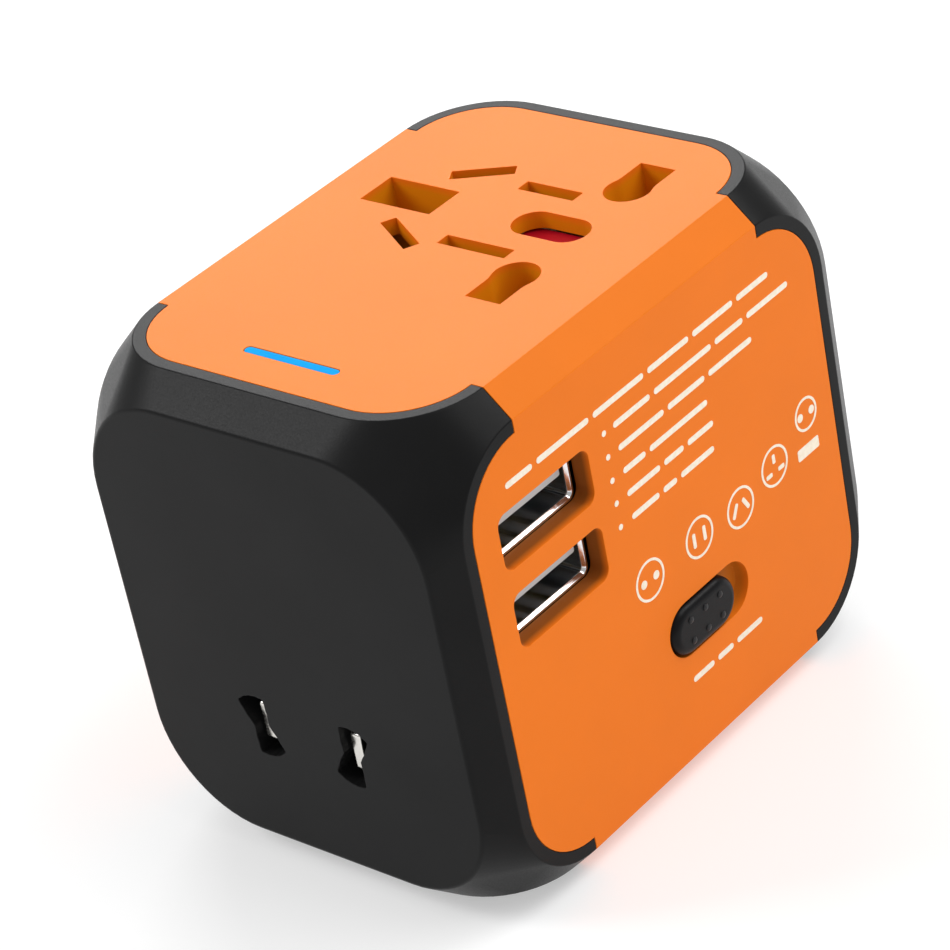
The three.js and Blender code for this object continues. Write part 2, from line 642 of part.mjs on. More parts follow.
function socketBlock() {
  const x0 = SOCKET_X - EARTH_OFFSET - EARTH_HOLE[0] / 2 - COLLAR_WALL;
  const x1 = SOCKET_X + WELL.half + 0.8;
  const reach = WELL.far + 1.2;
  const body = box(x0, x1, SOCKET_Y - reach, SOCKET_Y + reach, BLOCK_BOTTOM, BLOCK_TOP);
  const above = BLOCK_TOP + PAST;
  const wells = [-1, 1].map((side) => {
    const well = box(-WELL.half, WELL.half, side * WELL.near, side * WELL.far, WELL.floor, above);
    return well.translate(SOCKET_X, SOCKET_Y, 0);
  });
  const bossRooms = SCREW_PLACES.map(([x, z]) => {
    const room = barY(SCREW_RADIUS + BOSS_WALL + GAP, POST_START - GAP, HALF_D);
    return room.translate(x, 0, z);
  });
  const posts = BLOCK_POST_X.flatMap((x) => BLOCK_POST_Y.map((y) => {
    const [low, high] = [BLOCK_TOP - BITE, HEIGHT - SLEEVE_WALL - GAP];
    return block([BLOCK_POST, BLOCK_POST, high - low], [SOCKET_X + x, SOCKET_Y + y, (low + high) / 2]);
  }));
  return cut(join(body, ...posts), earthHole(0.1, BLOCK_BOTTOM - PAST, above),
    ...bladeHoles(BLOCK_BOTTOM + 2 * PAST, above), ...wells, ...bossRooms);
}

// a sprung U, pinched in below its mouth
function contact(side) {
  const half = WELL.half - GAP;
  const foot = WELL.floor + GAP;
  const top = BLOCK_TOP - 1;
  const [bend, pinch] = CONTACT_WAIST.map((rise) => foot + rise);
  const waist = half - CONTACT_PINCH;
  const inside = half - CONTACT_SHEET;
  const right = [[half, foot], [half, bend], [waist, pinch], [half, top]];
  const insideRight = [[inside, top], [waist - CONTACT_SHEET, pinch], [inside, bend],
    [inside, foot + CONTACT_SHEET]];
  const mirror = ([x, z]) => [-x, z];
  const fork = outline([...right, ...insideRight, ...[...insideRight].reverse().map(mirror),
    ...[...right].reverse().map(mirror)]);
  const ends = [side * (WELL.near + CONTACT_INSET), side * (WELL.far - CONTACT_INSET)];
  return prismY(fork, Math.min(...ends), Math.max(...ends)).translate(SOCKET_X, SOCKET_Y, 0);
}

// a gate below the live holes, with ramps, and a pad below the oval hole
function shutter() {
  const top = HEIGHT - SLEEVE_WALL - GAP;
  const plateTop = HEIGHT - COLLAR_DEPTH - GAP;
  const plateLow = BLOCK_TOP + GAP;
  const half = LIVE_SLOT_WIDTH / 2 + SHUTTER_LAP[0];
  const reach = LIVE_SLOT_END + SHUTTER_LAP[1];
  const gate = box(-half, half, -reach, reach, plateLow, plateTop);
  const padX = OVAL_HOLE[0] / 2 + SHUTTER_PAD[0];
  const padY = OVAL_HOLE[1] / 2 + SHUTTER_PAD[1];
  const pad = box(OVAL_OFFSET - padX, OVAL_OFFSET + padX, -padY, padY, plateLow, top);
  const [rampLength, rampDrop] = SHUTTER_RAMP;
  const wedge = outline([[-half - PAST, plateTop + PAST], [half + PAST, plateTop + PAST],
    [half + PAST, plateTop - rampDrop]]);
  const ramps = [-1, 1].map((side) => {
    const middle = side * (ROUND_PITCH / 2 + LIVE_SLOT_END) / 2;
    return prismY(wedge, middle - rampLength / 2, middle + rampLength / 2);
  });
  return cut(join(gate, pad), ...ramps).translate(SOCKET_X, SOCKET_Y, 0);
}

// between the shutter's pad and the collar of the earth hole
function shutterSpring() {
  const { radius, wire, turns, rise } = SHUTTER_SPRING;
  const padEdge = SOCKET_X + OVAL_OFFSET - OVAL_HOLE[0] / 2 - SHUTTER_PAD[0];
  const collarEdge = SOCKET_X - EARTH_OFFSET + EARTH_HOLE[0] / 2 + COLLAR_WALL;
  const coil = coilY(radius, wire, 0, padEdge - collarEdge - 2 * GAP, turns).rotateZ(-Math.PI / 2);
  return coil.translate(collarEdge + GAP, SOCKET_Y, BLOCK_TOP + rise);
}

add('socket_block', socketBlock(), 'ivory');
add('line_contact', contact(1), 'brass');
add('neutral_contact', contact(-1), 'brass');
add('safety_shutter', shutter(), 'red');
add('shutter_spring', shutterSpring(), 'steel');

// ---------------------------------------------------------------- charger, indicator and ports
const BOARD = {
  y0: FRONT_INNER + BOARD_MARGIN.front,
  y1: USB_Y + USB_SHELL[0] / 2 + BOARD_MARGIN.rear,
  z0: USB_Z[0] - BOARD_MARGIN.low,
  z1: HEIGHT - BOARD_MARGIN.top,
};

function transformer() {
  const middle = [BOARD_FACE - TRANSFORMER_STANDOFF - TRANSFORMER_CORE[0] / 2,
    (BOARD.y0 + BOARD.y1) / 2, BOARD.z0 + TRANSFORMER_RISE];
  return join(block(TRANSFORMER_CORE, middle), block(TRANSFORMER_COIL, middle));
}

// a can lying along X, with a groove near the end that stands on the board
function capacitor({ radius, length }) {
  const groove = 0.3;
  const can = turned([[0, 0], [radius, 0], [radius, 0.8], [radius - groove, 1.2], [radius, 1.6],
    [radius, length], [0, length]], 16);
  return can.rotateZ(Math.PI / 2);
}

const canFoot = BOARD_FACE - GAP;
const inputPlace = [canFoot, BOARD.y1 - INPUT_CAPACITOR.inset, BOARD.z1 - INPUT_CAPACITOR.drop];
const outputPlace = [canFoot, BOARD.y0 + OUTPUT_CAPACITOR.inset, BOARD.z1 - OUTPUT_CAPACITOR.drop];
add('charger_board', box(BOARD_FACE, BOARD_BACK, BOARD.y0, BOARD.y1, BOARD.z0, BOARD.z1), 'board');
add('transformer', transformer(), 'amber');
add('input_capacitor', capacitor(INPUT_CAPACITOR), 'aluminium', inputPlace);
add('output_capacitor', capacitor(OUTPUT_CAPACITOR), 'aluminium', outputPlace);

// the strip in the socket face, with a stem and foot that fetch light from the lamp on the board
const LED_X = BOARD_FACE - GAP - LED_SIZE[0] / 2;

function lightPipe() {
  const { inset, length, width, drop, foot } = LIGHT_STEM;
  const x1 = LIGHT_LENGTH / 2 - inset;
  const [y0, y1] = [LIGHT_Y - width / 2, LIGHT_Y + width / 2];
  const low = HEIGHT - drop;
  const stem = box(x1 - length, x1, y0, y1, low, HEIGHT - LIGHT_DEPTH + BITE);
  const footX0 = Math.min(x1 - length, LED_X - LED_SIZE[0] / 2);
  const footX1 = Math.max(x1, LED_X + LED_SIZE[0] / 2);
  return join(lightSlot(0, HEIGHT - LIGHT_DEPTH, HEIGHT), stem, box(footX0, footX1, y0, y1, low, low + foot));
}

const ledTop = HEIGHT - LIGHT_STEM.drop - GAP;
add('light_pipe', lightPipe(), 'lens');
add('indicator_led', block(LED_SIZE, [LED_X, LIGHT_Y, ledTop - LED_SIZE[2] / 2]), 'ivory');

// local frame of a port: X out to its mouth, origin at the middle of its back
function usbShell() {
  const [y, z] = USB_SHELL;
  const wall = USB_SHELL_WALL;
  const outer = roundRect(y / 2, z / 2, USB_SHELL_CORNER);
  const inner = roundRect(y / 2 - wall, z / 2 - wall, USB_SHELL_CORNER - wall / 2);
  return cut(prismX(outer, 0, USB_LENGTH, 2), prismX(inner, PAST, USB_LENGTH + PAST, 2));
}

function usbTongue() {
  const start = PAST + GAP;
  const { half, low, high } = USB_TONGUE;
  const root = USB_TONGUE_ROOT;
  return join(box(start, USB_LENGTH - TONGUE_SETBACK, -half, half, low, high),
    box(start, start + root.length, -root.half, root.half, -root.halfHeight, root.halfHeight));
}

for (const [i, z] of USB_Z.entries()) {
  const place = [USB_MOUTH - USB_LENGTH, USB_Y, z];
  add(`usb_shell_${i + 1}`, usbShell(), 'nickel', place);
  add(`usb_tongue_${i + 1}`, usbTongue(), 'grey', place);
}

// ---------------------------------------------------------------- chassis
function chassis() {
  const inner = CARRIAGE_HALF_WIDTH + GAP;
  const outer = inner + CHASSIS_WALL;
  const y1 = FACE_HALF_Y - CHASSIS_INSET;
  const top = FLOOR + GUIDE_HEIGHT;
  const pillar = inner - GAP;
  return join(
    box(-outer, outer, -y1, y1, FLOOR, FLOOR_TOP),
    box(-outer, -inner, -y1, y1, FLOOR, top),
    box(inner, outer, -y1, y1, FLOOR, top),
    box(-outer, outer, PARTITION_FRONT, PARTITION_BACK, FLOOR, top),
    box(-pillar, pillar, PARTITION_FRONT, PARTITION_BACK, FLOOR, BLOCK_BOTTOM - GAP),
  );
}

add('inner_chassis', chassis(), 'black');

function ejectorSpring(y0, y1) {
  const { radius, wire, turns } = EJECTOR_SPRING;
  return coilY(radius, wire, y0 + BITE, y1 - BITE, turns);
}

// a bore along Y through a carriage, for what turns or is pressed in it
function carriageBore(radius, x, z) {
  return barY(radius + GAP, -HALF_D, HALF_D).translate(x, 0, z);
}

// ---------------------------------------------------------------- flat blade set, out of the front
function flatBladeCarriage() {
  const { edge, margin, web, footHeight } = FLAT_CARRIAGE;
  const half = BLADE_X + HUB_RADIUS + edge;
  const rise = HUB_RADIUS + margin;
  const foot = FLOOR_TOP + GAP;
  const [y0, y1] = [FLAT_CARRIAGE_FRONT, FLAT_CARRIAGE_BACK];
  const body = join(
    box(-half, half, y0, y1, PLUG_Z - rise, PLUG_Z + rise),
    box(-web, web, y0, y1, foot + footHeight / 2, PLUG_Z),
    box(-CARRIAGE_HALF_WIDTH, CARRIAGE_HALF_WIDTH, y0, y1, foot, foot + footHeight));
  return cut(body, ...[-1, 1].map((side) => carriageBore(PIVOT_RADIUS, side * BLADE_X, PLUG_Z)));
}

// local origin on the turning axis, at the front face of the hub
function flatBlade() {
  const [thick, width] = BLADE_SECTION;
  const [run, rise] = BLADE_CHAMFER;
  const tip = -HALF_D + BLADE_TIP_INSET - HUB_FRONT;
  const half = width / 2;
  const side = outline([[BITE, -half], [BITE, half], [tip + run, half], [tip, half - rise],
    [tip, -half + rise], [tip + run, -half]]);
  return join(prismX(side, -thick / 2, thick / 2), barY(HUB_RADIUS, 0, HUB_THICKNESS, 20),
    barY(PIVOT_RADIUS, BITE, HUB_THICKNESS + GAP + PIVOT_LENGTH));
}

add('flat_blade_carriage', flatBladeCarriage(), 'black');
add('flat_blade_left', flatBlade(), 'nickel', [-BLADE_X, HUB_FRONT, PLUG_Z]);
add('flat_blade_right', flatBlade(), 'nickel', [BLADE_X, HUB_FRONT, PLUG_Z]);
add('flat_blade_spring', ejectorSpring(FLAT_CARRIAGE_BACK, PARTITION_FRONT), 'steel', [0, 0, PLUG_Z]);

// ---------------------------------------------------------------- round pin set, out of the rear
const REAR_SPRING = [PARTITION_BACK, REAR_CARRIAGE_START];

function roundPinCarriage() {
  const size = [2 * ROUND_CARRIAGE_HALF, CARRIAGE_LENGTH, 2 * ROUND_CARRIAGE_RISE];
  const body = block(size, [0, (REAR_CARRIAGE_START + REAR_CARRIAGE_END) / 2, PLUG_Z]);
  return cut(body, carriageBore(GUIDE_ROD_RADIUS, 0, PLUG_Z),
    ...[-1, 1].map((side) => carriageBore(PIN_ROOT.round, side * ROUND_PIN_X, PLUG_Z)));
}

// local origin on the pin's axis
function roundPin() {
  const tip = HALF_D - TIP_INSET;
  const r = ROUND_PIN_RADIUS;
  const root = PIN_ROOT.round;
  const foot = REAR_CARRIAGE_START + PIN_ROOT.short;
  const shoulder = REAR_CARRIAGE_END + GAP;
  const nose = [0, 1, 2, 3].map((k) => {
    const angle = Math.PI / 2 * k / 3;
    return [r * Math.cos(angle), tip - 0.75 * r * (1 - Math.sin(angle))];
  });
  nose[3][0] = 0;
  return turned([[0, foot], [root, foot], [root, shoulder], [r, shoulder], ...nose], 20);
}

add('round_pin_carriage', roundPinCarriage(), 'black');
add('round_pin_left', roundPin(), 'nickel', [-ROUND_PIN_X, 0, PLUG_Z]);
add('round_pin_right', roundPin(), 'nickel', [ROUND_PIN_X, 0, PLUG_Z]);
add('round_pin_guide_rod', barY(GUIDE_ROD_RADIUS, PARTITION_BACK + GAP, REAR_INNER - GAP), 'steel',
  [0, 0, PLUG_Z]);
add('round_pin_spring', ejectorSpring(...REAR_SPRING), 'steel', [0, 0, PLUG_Z]);

// ---------------------------------------------------------------- long pin set, out of the rear
function longPinCarriage() {
  const { bridge, arm, margin } = LONG_CARRIAGE;
  const [y0, y1] = [REAR_CARRIAGE_START, REAR_CARRIAGE_END];
  const windowHalf = ROUND_CARRIAGE_HALF + GAP;
  const low = PLUG_Z - ROUND_CARRIAGE_RISE - GAP;
  const high = PLUG_Z + ROUND_CARRIAGE_RISE + GAP;
  const frame = cut(
    box(-CARRIAGE_HALF_WIDTH, CARRIAGE_HALF_WIDTH, y0, y1, FLOOR_TOP + GAP, high + bridge),
    box(-windowHalf, windowHalf, y0 - PAST, y1 + PAST, low, high));
  const top = LONG_EARTH_Z + LONG_EARTH_SECTION[1] / 2 + margin;
  const post = box(-arm, arm, y0, y1, high + bridge / 2, top);
  return cut(join(frame, post), carriageBore(PIN_ROOT.long, -LONG_PIN_X, LONG_PIN_Z),
    carriageBore(PIN_ROOT.long, LONG_PIN_X, LONG_PIN_Z), carriageBore(PIN_ROOT.long, 0, LONG_EARTH_Z));
}

// local origin on the pin's axis
function longPin([width, height]) {
  const [taper, shrink] = LONG_NOSE;
  const tip = HALF_D - TIP_INSET;
  const start = REAR_CARRIAGE_END + GAP;
  const points = [];
  for (const [y, inset] of [[tip - taper, 0], [tip, shrink]]) {
    for (const [sx, sz] of CORNERS) {
      points.push(new THREE.Vector3(sx * (width / 2 - inset), y, sz * (height / 2 - inset)));
    }
  }
  return join(box(-width / 2, width / 2, start, tip - taper, -height / 2, height / 2),
    new ConvexGeometry(points),
    barY(PIN_ROOT.long, REAR_CARRIAGE_START + PIN_ROOT.short, start + BITE));
}

add('long_pin_carriage', longPinCarriage(), 'black');
add('long_pin_left', longPin(LONG_PIN_SECTION), 'brass', [-LONG_PIN_X, 0, LONG_PIN_Z]);
add('long_pin_right', longPin(LONG_PIN_SECTION), 'brass', [LONG_PIN_X, 0, LONG_PIN_Z]);
add('long_pin_earth', longPin(LONG_EARTH_SECTION), 'black', [0, 0, LONG_EARTH_Z]);
add('long_pin_spring', ejectorSpring(...REAR_SPRING), 'steel', [0, 0, LONG_PIN_Z]);

for (const slider of SLIDERS) {
  add(`${slider.set}_slider`, sliderKnob(slider), 'knob');
  add(`${slider.set}_slider_spring`, sliderSpring(slider), 'steel');
}

// ---------------------------------------------------------------- fuse
const FUSE_X = -(HALF_W - SLEEVE_WALL - FUSE_SIDE - FUSE_RADIUS);
const FUSE_HALF = FUSE_LENGTH / 2;
const CLIP_OFFSET = FUSE_HALF - CLIP.inset;
const CLIP_HOLE = FUSE_RADIUS + CLIP.air;
const CLIP_REACH = CLIP_HOLE + CLIP.sheet;

function fuseTube() {
  const r = FUSE_RADIUS;
  const tube = r - FUSE_STEP;
  const ferrule = FUSE_HALF - FUSE_FERRULE;
  return turned([[0, -FUSE_HALF], [r, -FUSE_HALF], [r, -ferrule - 0.1], [tube, -ferrule],
    [tube, ferrule], [r, ferrule + 0.1], [r, FUSE_HALF], [0, FUSE_HALF]], 14);
}

// a sprung cradle, open above
function fuseClip() {
  const mouth = CLIP_HOLE - 2 * CLIP.sheet;
  return cut(
    box(-CLIP_REACH, CLIP_REACH, -CLIP.half, CLIP.half, -CLIP_REACH, CLIP.rise),
    barY(CLIP_HOLE, -CLIP.half - PAST, CLIP.half + PAST, 14),
    box(-mouth, mouth, -CLIP.half - PAST, CLIP.half + PAST, 0, CLIP.rise + PAST));
}

const [baseWidth, baseThickness] = FUSE_BASE;
const baseMiddle = FUSE_Z - CLIP_REACH - GAP - baseThickness / 2;
add('fuse', fuseTube(), 'ceramic', [FUSE_X, FUSE_Y, FUSE_Z]);
add('fuse_clip_front', fuseClip(), 'brass', [FUSE_X, FUSE_Y - CLIP_OFFSET, FUSE_Z]);
add('fuse_clip_rear', fuseClip(), 'brass', [FUSE_X, FUSE_Y + CLIP_OFFSET, FUSE_Z]);
add('fuse_base', block([baseWidth, FUSE_LENGTH - 1, baseThickness], [FUSE_X, FUSE_Y, baseMiddle]), 'ivory');

export default adapter;
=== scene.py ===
from math import atan2, cos, pi, radians, sin, tan

import bmesh
import bpy
from mathutils import Matrix, Vector


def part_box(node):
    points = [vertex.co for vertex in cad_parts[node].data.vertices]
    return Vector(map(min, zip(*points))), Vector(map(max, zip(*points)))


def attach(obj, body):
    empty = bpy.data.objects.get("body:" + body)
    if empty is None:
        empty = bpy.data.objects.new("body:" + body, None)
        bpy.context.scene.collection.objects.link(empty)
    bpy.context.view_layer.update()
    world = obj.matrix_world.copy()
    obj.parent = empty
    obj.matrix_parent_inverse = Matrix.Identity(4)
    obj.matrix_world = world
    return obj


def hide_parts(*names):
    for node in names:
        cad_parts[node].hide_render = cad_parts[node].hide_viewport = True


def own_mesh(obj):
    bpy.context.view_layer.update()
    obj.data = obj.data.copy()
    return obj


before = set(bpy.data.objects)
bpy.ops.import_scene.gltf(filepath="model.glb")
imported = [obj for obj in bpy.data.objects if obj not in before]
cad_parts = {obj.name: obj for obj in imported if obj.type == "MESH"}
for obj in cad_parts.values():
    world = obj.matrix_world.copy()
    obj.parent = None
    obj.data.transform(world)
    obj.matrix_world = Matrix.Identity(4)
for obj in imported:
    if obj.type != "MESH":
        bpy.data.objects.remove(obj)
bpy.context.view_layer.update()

# Shapes are worked out in millimetres in the frame's own axes, and scaled to metres when a piece is made.
MM = 0.001


def node_box(name):
    low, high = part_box(name)
    return low / MM, high / MM


SLEEVE_HIGH = node_box("body_sleeve")[1]
HALF_W = SLEEVE_HIGH.x
HEIGHT = SLEEVE_HIGH.z
HALF_D = -node_box("front_cap")[0].y
MID_Z = HEIGHT / 2

# casing
CHAMFER = 3.0
END_RUN = 3.5
FACE_RADIUS = 10.1
END_INSET_X = 2.2
END_INSET_Z = 3.0
END_RADIUS = 12.0
END_SOFTNESS = 0.7
RIM = 1.5
SLEEVE_WALL = 2.0
CAP_WALL = 2.4
TONGUE = 1.2
SEAM = 0.04
SLEEVE_BEVEL = 0.06
CAP_BEVEL = 0.12
FACE_HALF_Y = HALF_D - END_RUN
RING_END = FACE_HALF_Y - FACE_RADIUS
ARC = 14                # steps round a quarter circle
PAST = 1.0              # how far a cutting solid reaches past what it cuts
SINK = 0.2              # how far a collar's end stays under the face it grows from

# universal socket
SOCKET_X = 11.0
SOCKET_Y = 8.14
EARTH_OFFSET = 22.23
EARTH_HOLE = (9.7, 5.2)
LIVE_SLOT_WIDTH = 4.56
LIVE_SLOT_END = 15.0
ROUND_PITCH = 19.2
ROUND_RADIUS = 2.65
LIVE_FILLET = 3.4
HOLE_DEPTH = 4.0        # how deep the tools for the thin holes in the top reach
BLADE_ROW = -7.92
BLADE_SLOTS = ((6.35, 7.4), (-6.35, 9.0))
SLANT_ROW = -17.72
SLANT_Y = 7.08
SLANT_LENGTH = 7.2
SLOT_WIDTH = 1.8
SLANT_ANGLE = pi / 6
OVAL_OFFSET = -2.85
OVAL_HOLE = (9.5, 4.9)
COLLAR_DEPTH = 6.0
COLLAR_WALL = 1.2

# indicator, USB ports, sliders, plug sets
LIGHT_Y = -24.0
LIGHT_LENGTH = 12.6
LIGHT_WIDTH = 1.05
LIGHT_DEPTH = 3.2
LIGHT_SET_IN = 0.02
LIGHT_FOOT_LAP = 0.7
LIGHT_FOOT_HALF = 0.5
LIGHT_ROOM = (0.4, 5.0)     # clearance and depth of the front cap's cut-out for the strip
USB_Y = -18.05
USB_Z = (34.5, 43.7)
USB_WINDOW = (14.5, 6.4)
USB_WINDOW_RADIUS = 1.3
USB_COLLAR_WALL = 1.0
USB_SHELL = (13.1, 5.7)
USB_RECESS = 2.4
USB_LENGTH = 13.4
USB_CONTACTS = (-3.5, -1.0, 1.0, 3.5)
USB_ROOM = (0.3, 6.0)       # clearance and depth of the front cap's cut-outs for the ports
SLIDER_Z = 18.15
SLIDER_RECESS = (14.0, 6.4)
SLIDER_RECESS_DEPTH = 1.5
SLIDER_RECESS_CHAMFER = 0.7
SLIDER_STEM = 3.0
SLIDER_SLOT_DEPTH = 6.0
SLIDER_KNOB = (11.0, 5.9)
SLIDER_PROUD = 0.6
SLIDER_TRAVEL = 2.6
# name, side of the casing, place along it, way that it slides
SLIDERS = (("round_pin_slider", 1, 3.4, 1), ("flat_blade_slider", -1, -10.5, 1),
           ("long_pin_slider", -1, 10.5, -1))
BLADE_X = 6.35
PLUG_Z = 18.0
BLADE_SECTION = (1.5, 6.35)
BLADE_REACH = 18.0      # from behind the front cap's inner face to the hub of a stowed blade
ROUND_PIN_X = 9.5
ROUND_PIN_RADIUS = 2.4
LONG_PIN_X = 11.1
LONG_PIN_Z = 9.6
LONG_PIN_SECTION = (6.35, 3.97)
LONG_EARTH_RISE = 22.23
LONG_EARTH_SECTION = (3.97, 7.95)
LONG_PIN_RADIUS = 0.45
PIN_ROOT = 6.8          # length of the thin root that a carriage holds
PIN_ROOT_RADIUS = 1.4
PIN_CLEARANCE = 0.3
SLOT_END_CLEARANCE = 0.45
WAIST_SHARE = 0.94
SCREW_X = 19.2
SCREW_Z = (23.0, 42.0)
SCREW_PLACES = [(x, z) for x in (-SCREW_X, SCREW_X) for z in SCREW_Z]
SCREW_SEAT_DEPTH = 3.4
SCREW_SEAT_RADIUS = 2.3
SCREW_HOLE_RADIUS = 1.4
POST_START = 12.0
POST_GAP = 0.3          # from the joint of sleeve and cap to a post on either side
SLEEVE_POST_RADIUS = 2.3
CAP_POST_RADIUS = 2.7
RIB = (3.6, 1.6)        # length and thickness of the rib that holds a sleeve post


# ---- outlines, in millimetres
def corner_arcs(half_u, half_v, radius, steps=ARC):
    """The arc's centre and the direction, for each point round the corners of a rounded rectangle."""
    for su, sv, start in ((1, 1, 0.0), (-1, 1, 0.5 * pi), (-1, -1, pi), (1, -1, 1.5 * pi)):
        for k in range(steps + 1):
            yield su * (half_u - radius), sv * (half_v - radius), start + 0.5 * pi * k / steps


def rounded(half_u, half_v, radius, steps=ARC, centre=(0.0, 0.0)):
    """A rounded rectangle as points in order, anticlockwise."""
    r = min(radius, half_u - 0.001, half_v - 0.001)
    return [(centre[0] + u + r * cos(angle), centre[1] + v + r * sin(angle))
            for u, v, angle in corner_arcs(half_u, half_v, r, steps)]


def circle(radius, steps=40, centre=(0.0, 0.0)):
    return [(centre[0] + radius * cos(2 * pi * k / steps), centre[1] + radius * sin(2 * pi * k / steps))
            for k in range(steps)]


def rectangle(u0, u1, v0, v1):
    return [(u0, v0), (u1, v0), (u1, v1), (u0, v1)]


def moved(points, du, dv, turn=0.0):
    """An outline turned about the origin, then moved."""
    c, s = cos(turn), sin(turn)
    return [(du + u * c - v * s, dv + u * s + v * c) for u, v in points]


# ---- solids, in millimetres
MERGE = 1e-4
FLAT_ANGLE = 0.05
BEVEL_ANGLE = 30.0
PLACE = {
    "X": lambda u, v, w: (w, u, v),
    "Y": lambda u, v, w: (u, w, v),
    "Z": lambda u, v, w: (u, v, w),
}


def stitch(bm, low, high):
    """Faces between two rings of the same number of points."""
    for k in range(len(low)):
        n = (k + 1) % len(low)
        bm.faces.new((low[k], low[n], high[n], high[k]))


def skin(bm, rings):
    """Closes rings of the same number of points into a solid, with a face at each end."""
    bm.faces.new(rings[0])
    bm.faces.new(rings[-1])
    for low, high in zip(rings, rings[1:]):
        stitch(bm, low, high)
    bmesh.ops.recalc_face_normals(bm, faces=bm.faces)
    return bm


def loft(axis, *outlines):
    """A closed solid through outlines, each given as (points, place along the axis)."""
    bm = bmesh.new()
    place = PLACE[axis]
    return skin(bm, [[bm.verts.new(place(u, v, w)) for u, v in points] for points, w in outlines])


def prism(points, axis, a, b):
    """An outline carried along an axis from a to b."""
    return loft(axis, (points, a), (points, b))


def box(x0, x1, y0, y1, z0, z1):
    return prism(rectangle(x0, x1, y0, y1), "Z", z0, z1)


def hull(points):
    """The convex solid round a cloud of points, with its flat faces joined."""
    bm = bmesh.new()
    for p in points:
        bm.verts.new(p)
    bmesh.ops.remove_doubles(bm, verts=bm.verts, dist=MERGE)
    made = bmesh.ops.convex_hull(bm, input=bm.verts)
    loose = {v for v in made["geom_interior"] + made["geom_unused"] if isinstance(v, bmesh.types.BMVert)}
    bmesh.ops.delete(bm, geom=list(loose), context="VERTS")
    bmesh.ops.dissolve_limit(bm, angle_limit=radians(FLAT_ANGLE), verts=bm.verts, edges=bm.edges)
    bmesh.ops.recalc_face_normals(bm, faces=bm.faces)
    return bm


def turned(profile, axis, steps=48):
    """A solid of revolution about an axis: the profile is (radius, place along the axis)."""
    bm = bmesh.new()
    place = PLACE[axis]
    rings = []
    for r, w in profile:
        ring = circle(r, steps) if r else [(0.0, 0.0)]
        rings.append([bm.verts.new(place(u, v, w)) for u, v in ring])
    for low, high in zip(rings, rings[1:]):
        for k in range(steps):
            n = (k + 1) % steps
            corners = []
            for v in (low[k % len(low)], low[n % len(low)], high[n % len(high)], high[k % len(high)]):
                if v not in corners:
                    corners.append(v)
            bm.faces.new(corners)
    bmesh.ops.recalc_face_normals(bm, faces=bm.faces)
    return bm


def shifted(bm, x=0.0, y=0.0, z=0.0, turn=0.0):
    """Turns a solid about Z, then moves it."""
    bm.transform(Matrix.Translation((x, y, z)) @ Matrix.Rotation(turn, 4, "Z"))
    return bm


def as_object(bm, name="work"):
    mesh = bpy.data.meshes.new(name)
    bm.to_mesh(mesh)
    bm.free()
    obj = bpy.data.objects.new(name, mesh)
    bpy.context.scene.collection.objects.link(obj)
    return obj


def settle(obj):
    """Applies an object's modifiers to its mesh."""
    graph = bpy.context.evaluated_depsgraph_get()
    mesh = bpy.data.meshes.new_from_object(obj.evaluated_get(graph), preserve_all_data_layers=True,
                                           depsgraph=graph)
    old = obj.data
    obj.modifiers.clear()
    obj.data = mesh
    bpy.data.meshes.remove(old)
    return obj


def combine(base, tools, operation):
    """Cuts, joins or keeps what is common to a base solid and each tool."""
    objects = [as_object(t) for t in tools]
    for tool in objects:
        mod = base.modifiers.new("step", "BOOLEAN")
        mod.operation = operation
        mod.solver = "EXACT"
        mod.object = tool
    settle(base)
    for tool in objects:
        mesh = tool.data
        bpy.data.objects.remove(tool)
        bpy.data.meshes.remove(mesh)
    return base


def carve(base, *tools):
    return combine(base, tools, "DIFFERENCE")


def weld(base, *tools):
    return combine(base, tools, "UNION")


def piece(name, obj, material, body, replaces=(), bevel=0.0, segments=2, sharp=45.0):
    """Finishes a solid as a named piece: softened edges, weighted normals, metres, material and body."""
    if isinstance(obj, bmesh.types.BMesh):
        obj = as_object(obj)
    if bevel > 0:
        mod = obj.modifiers.new("edges", "BEVEL")
        mod.width = bevel
        mod.segments = segments
        mod.limit_method = "ANGLE"
        mod.angle_limit = radians(BEVEL_ANGLE)
        mod.use_clamp_overlap = False
        mod.miter_outer = "MITER_ARC"
        settle(obj)
    bm = bmesh.new()
    bm.from_mesh(obj.data)
    bmesh.ops.remove_doubles(bm, verts=bm.verts, dist=2 * MERGE)
    bmesh.ops.dissolve_degenerate(bm, dist=MERGE, edges=bm.edges)
    for face in bm.faces:
        face.smooth = True
    for edge in bm.edges:
        edge.smooth = len(edge.link_faces) == 2 and edge.calc_face_angle(0.0) < radians(sharp)
    bm.to_mesh(obj.data)
    bm.free()
    mod = obj.modifiers.new("normals", "WEIGHTED_NORMAL")
    mod.keep_sharp = True
    settle(obj)
    obj.data.transform(Matrix.Scale(MM, 4))
    obj.name = name
    obj.data.name = name
    obj.data.materials.clear()
    obj.data.materials.append(material)
    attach(obj, body)
    if replaces:
        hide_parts(*replaces)
    return obj


# ---- camera, light and floor
CAMERA_AZIMUTH = 45.06
CAMERA_ELEVATION = 31.02
CAMERA_ROLL = -11.64
CAMERA_DISTANCE = 390.7
CAMERA_AIM = (-1.52, -0.43, MID_Z + 1.28)
CAMERA_LENS = 137.4
SENSOR_WIDTH = 36.0
NEAREST_SEEN = 0.01
FLOOR_HALF = 3000
FLOOR_CORNER = 600
FLOOR_THICKNESS = 20.0
FLOOR_DROP = 0.02
WORLD_LIGHT = 0.45
FLOOR_GLOW = 0.42
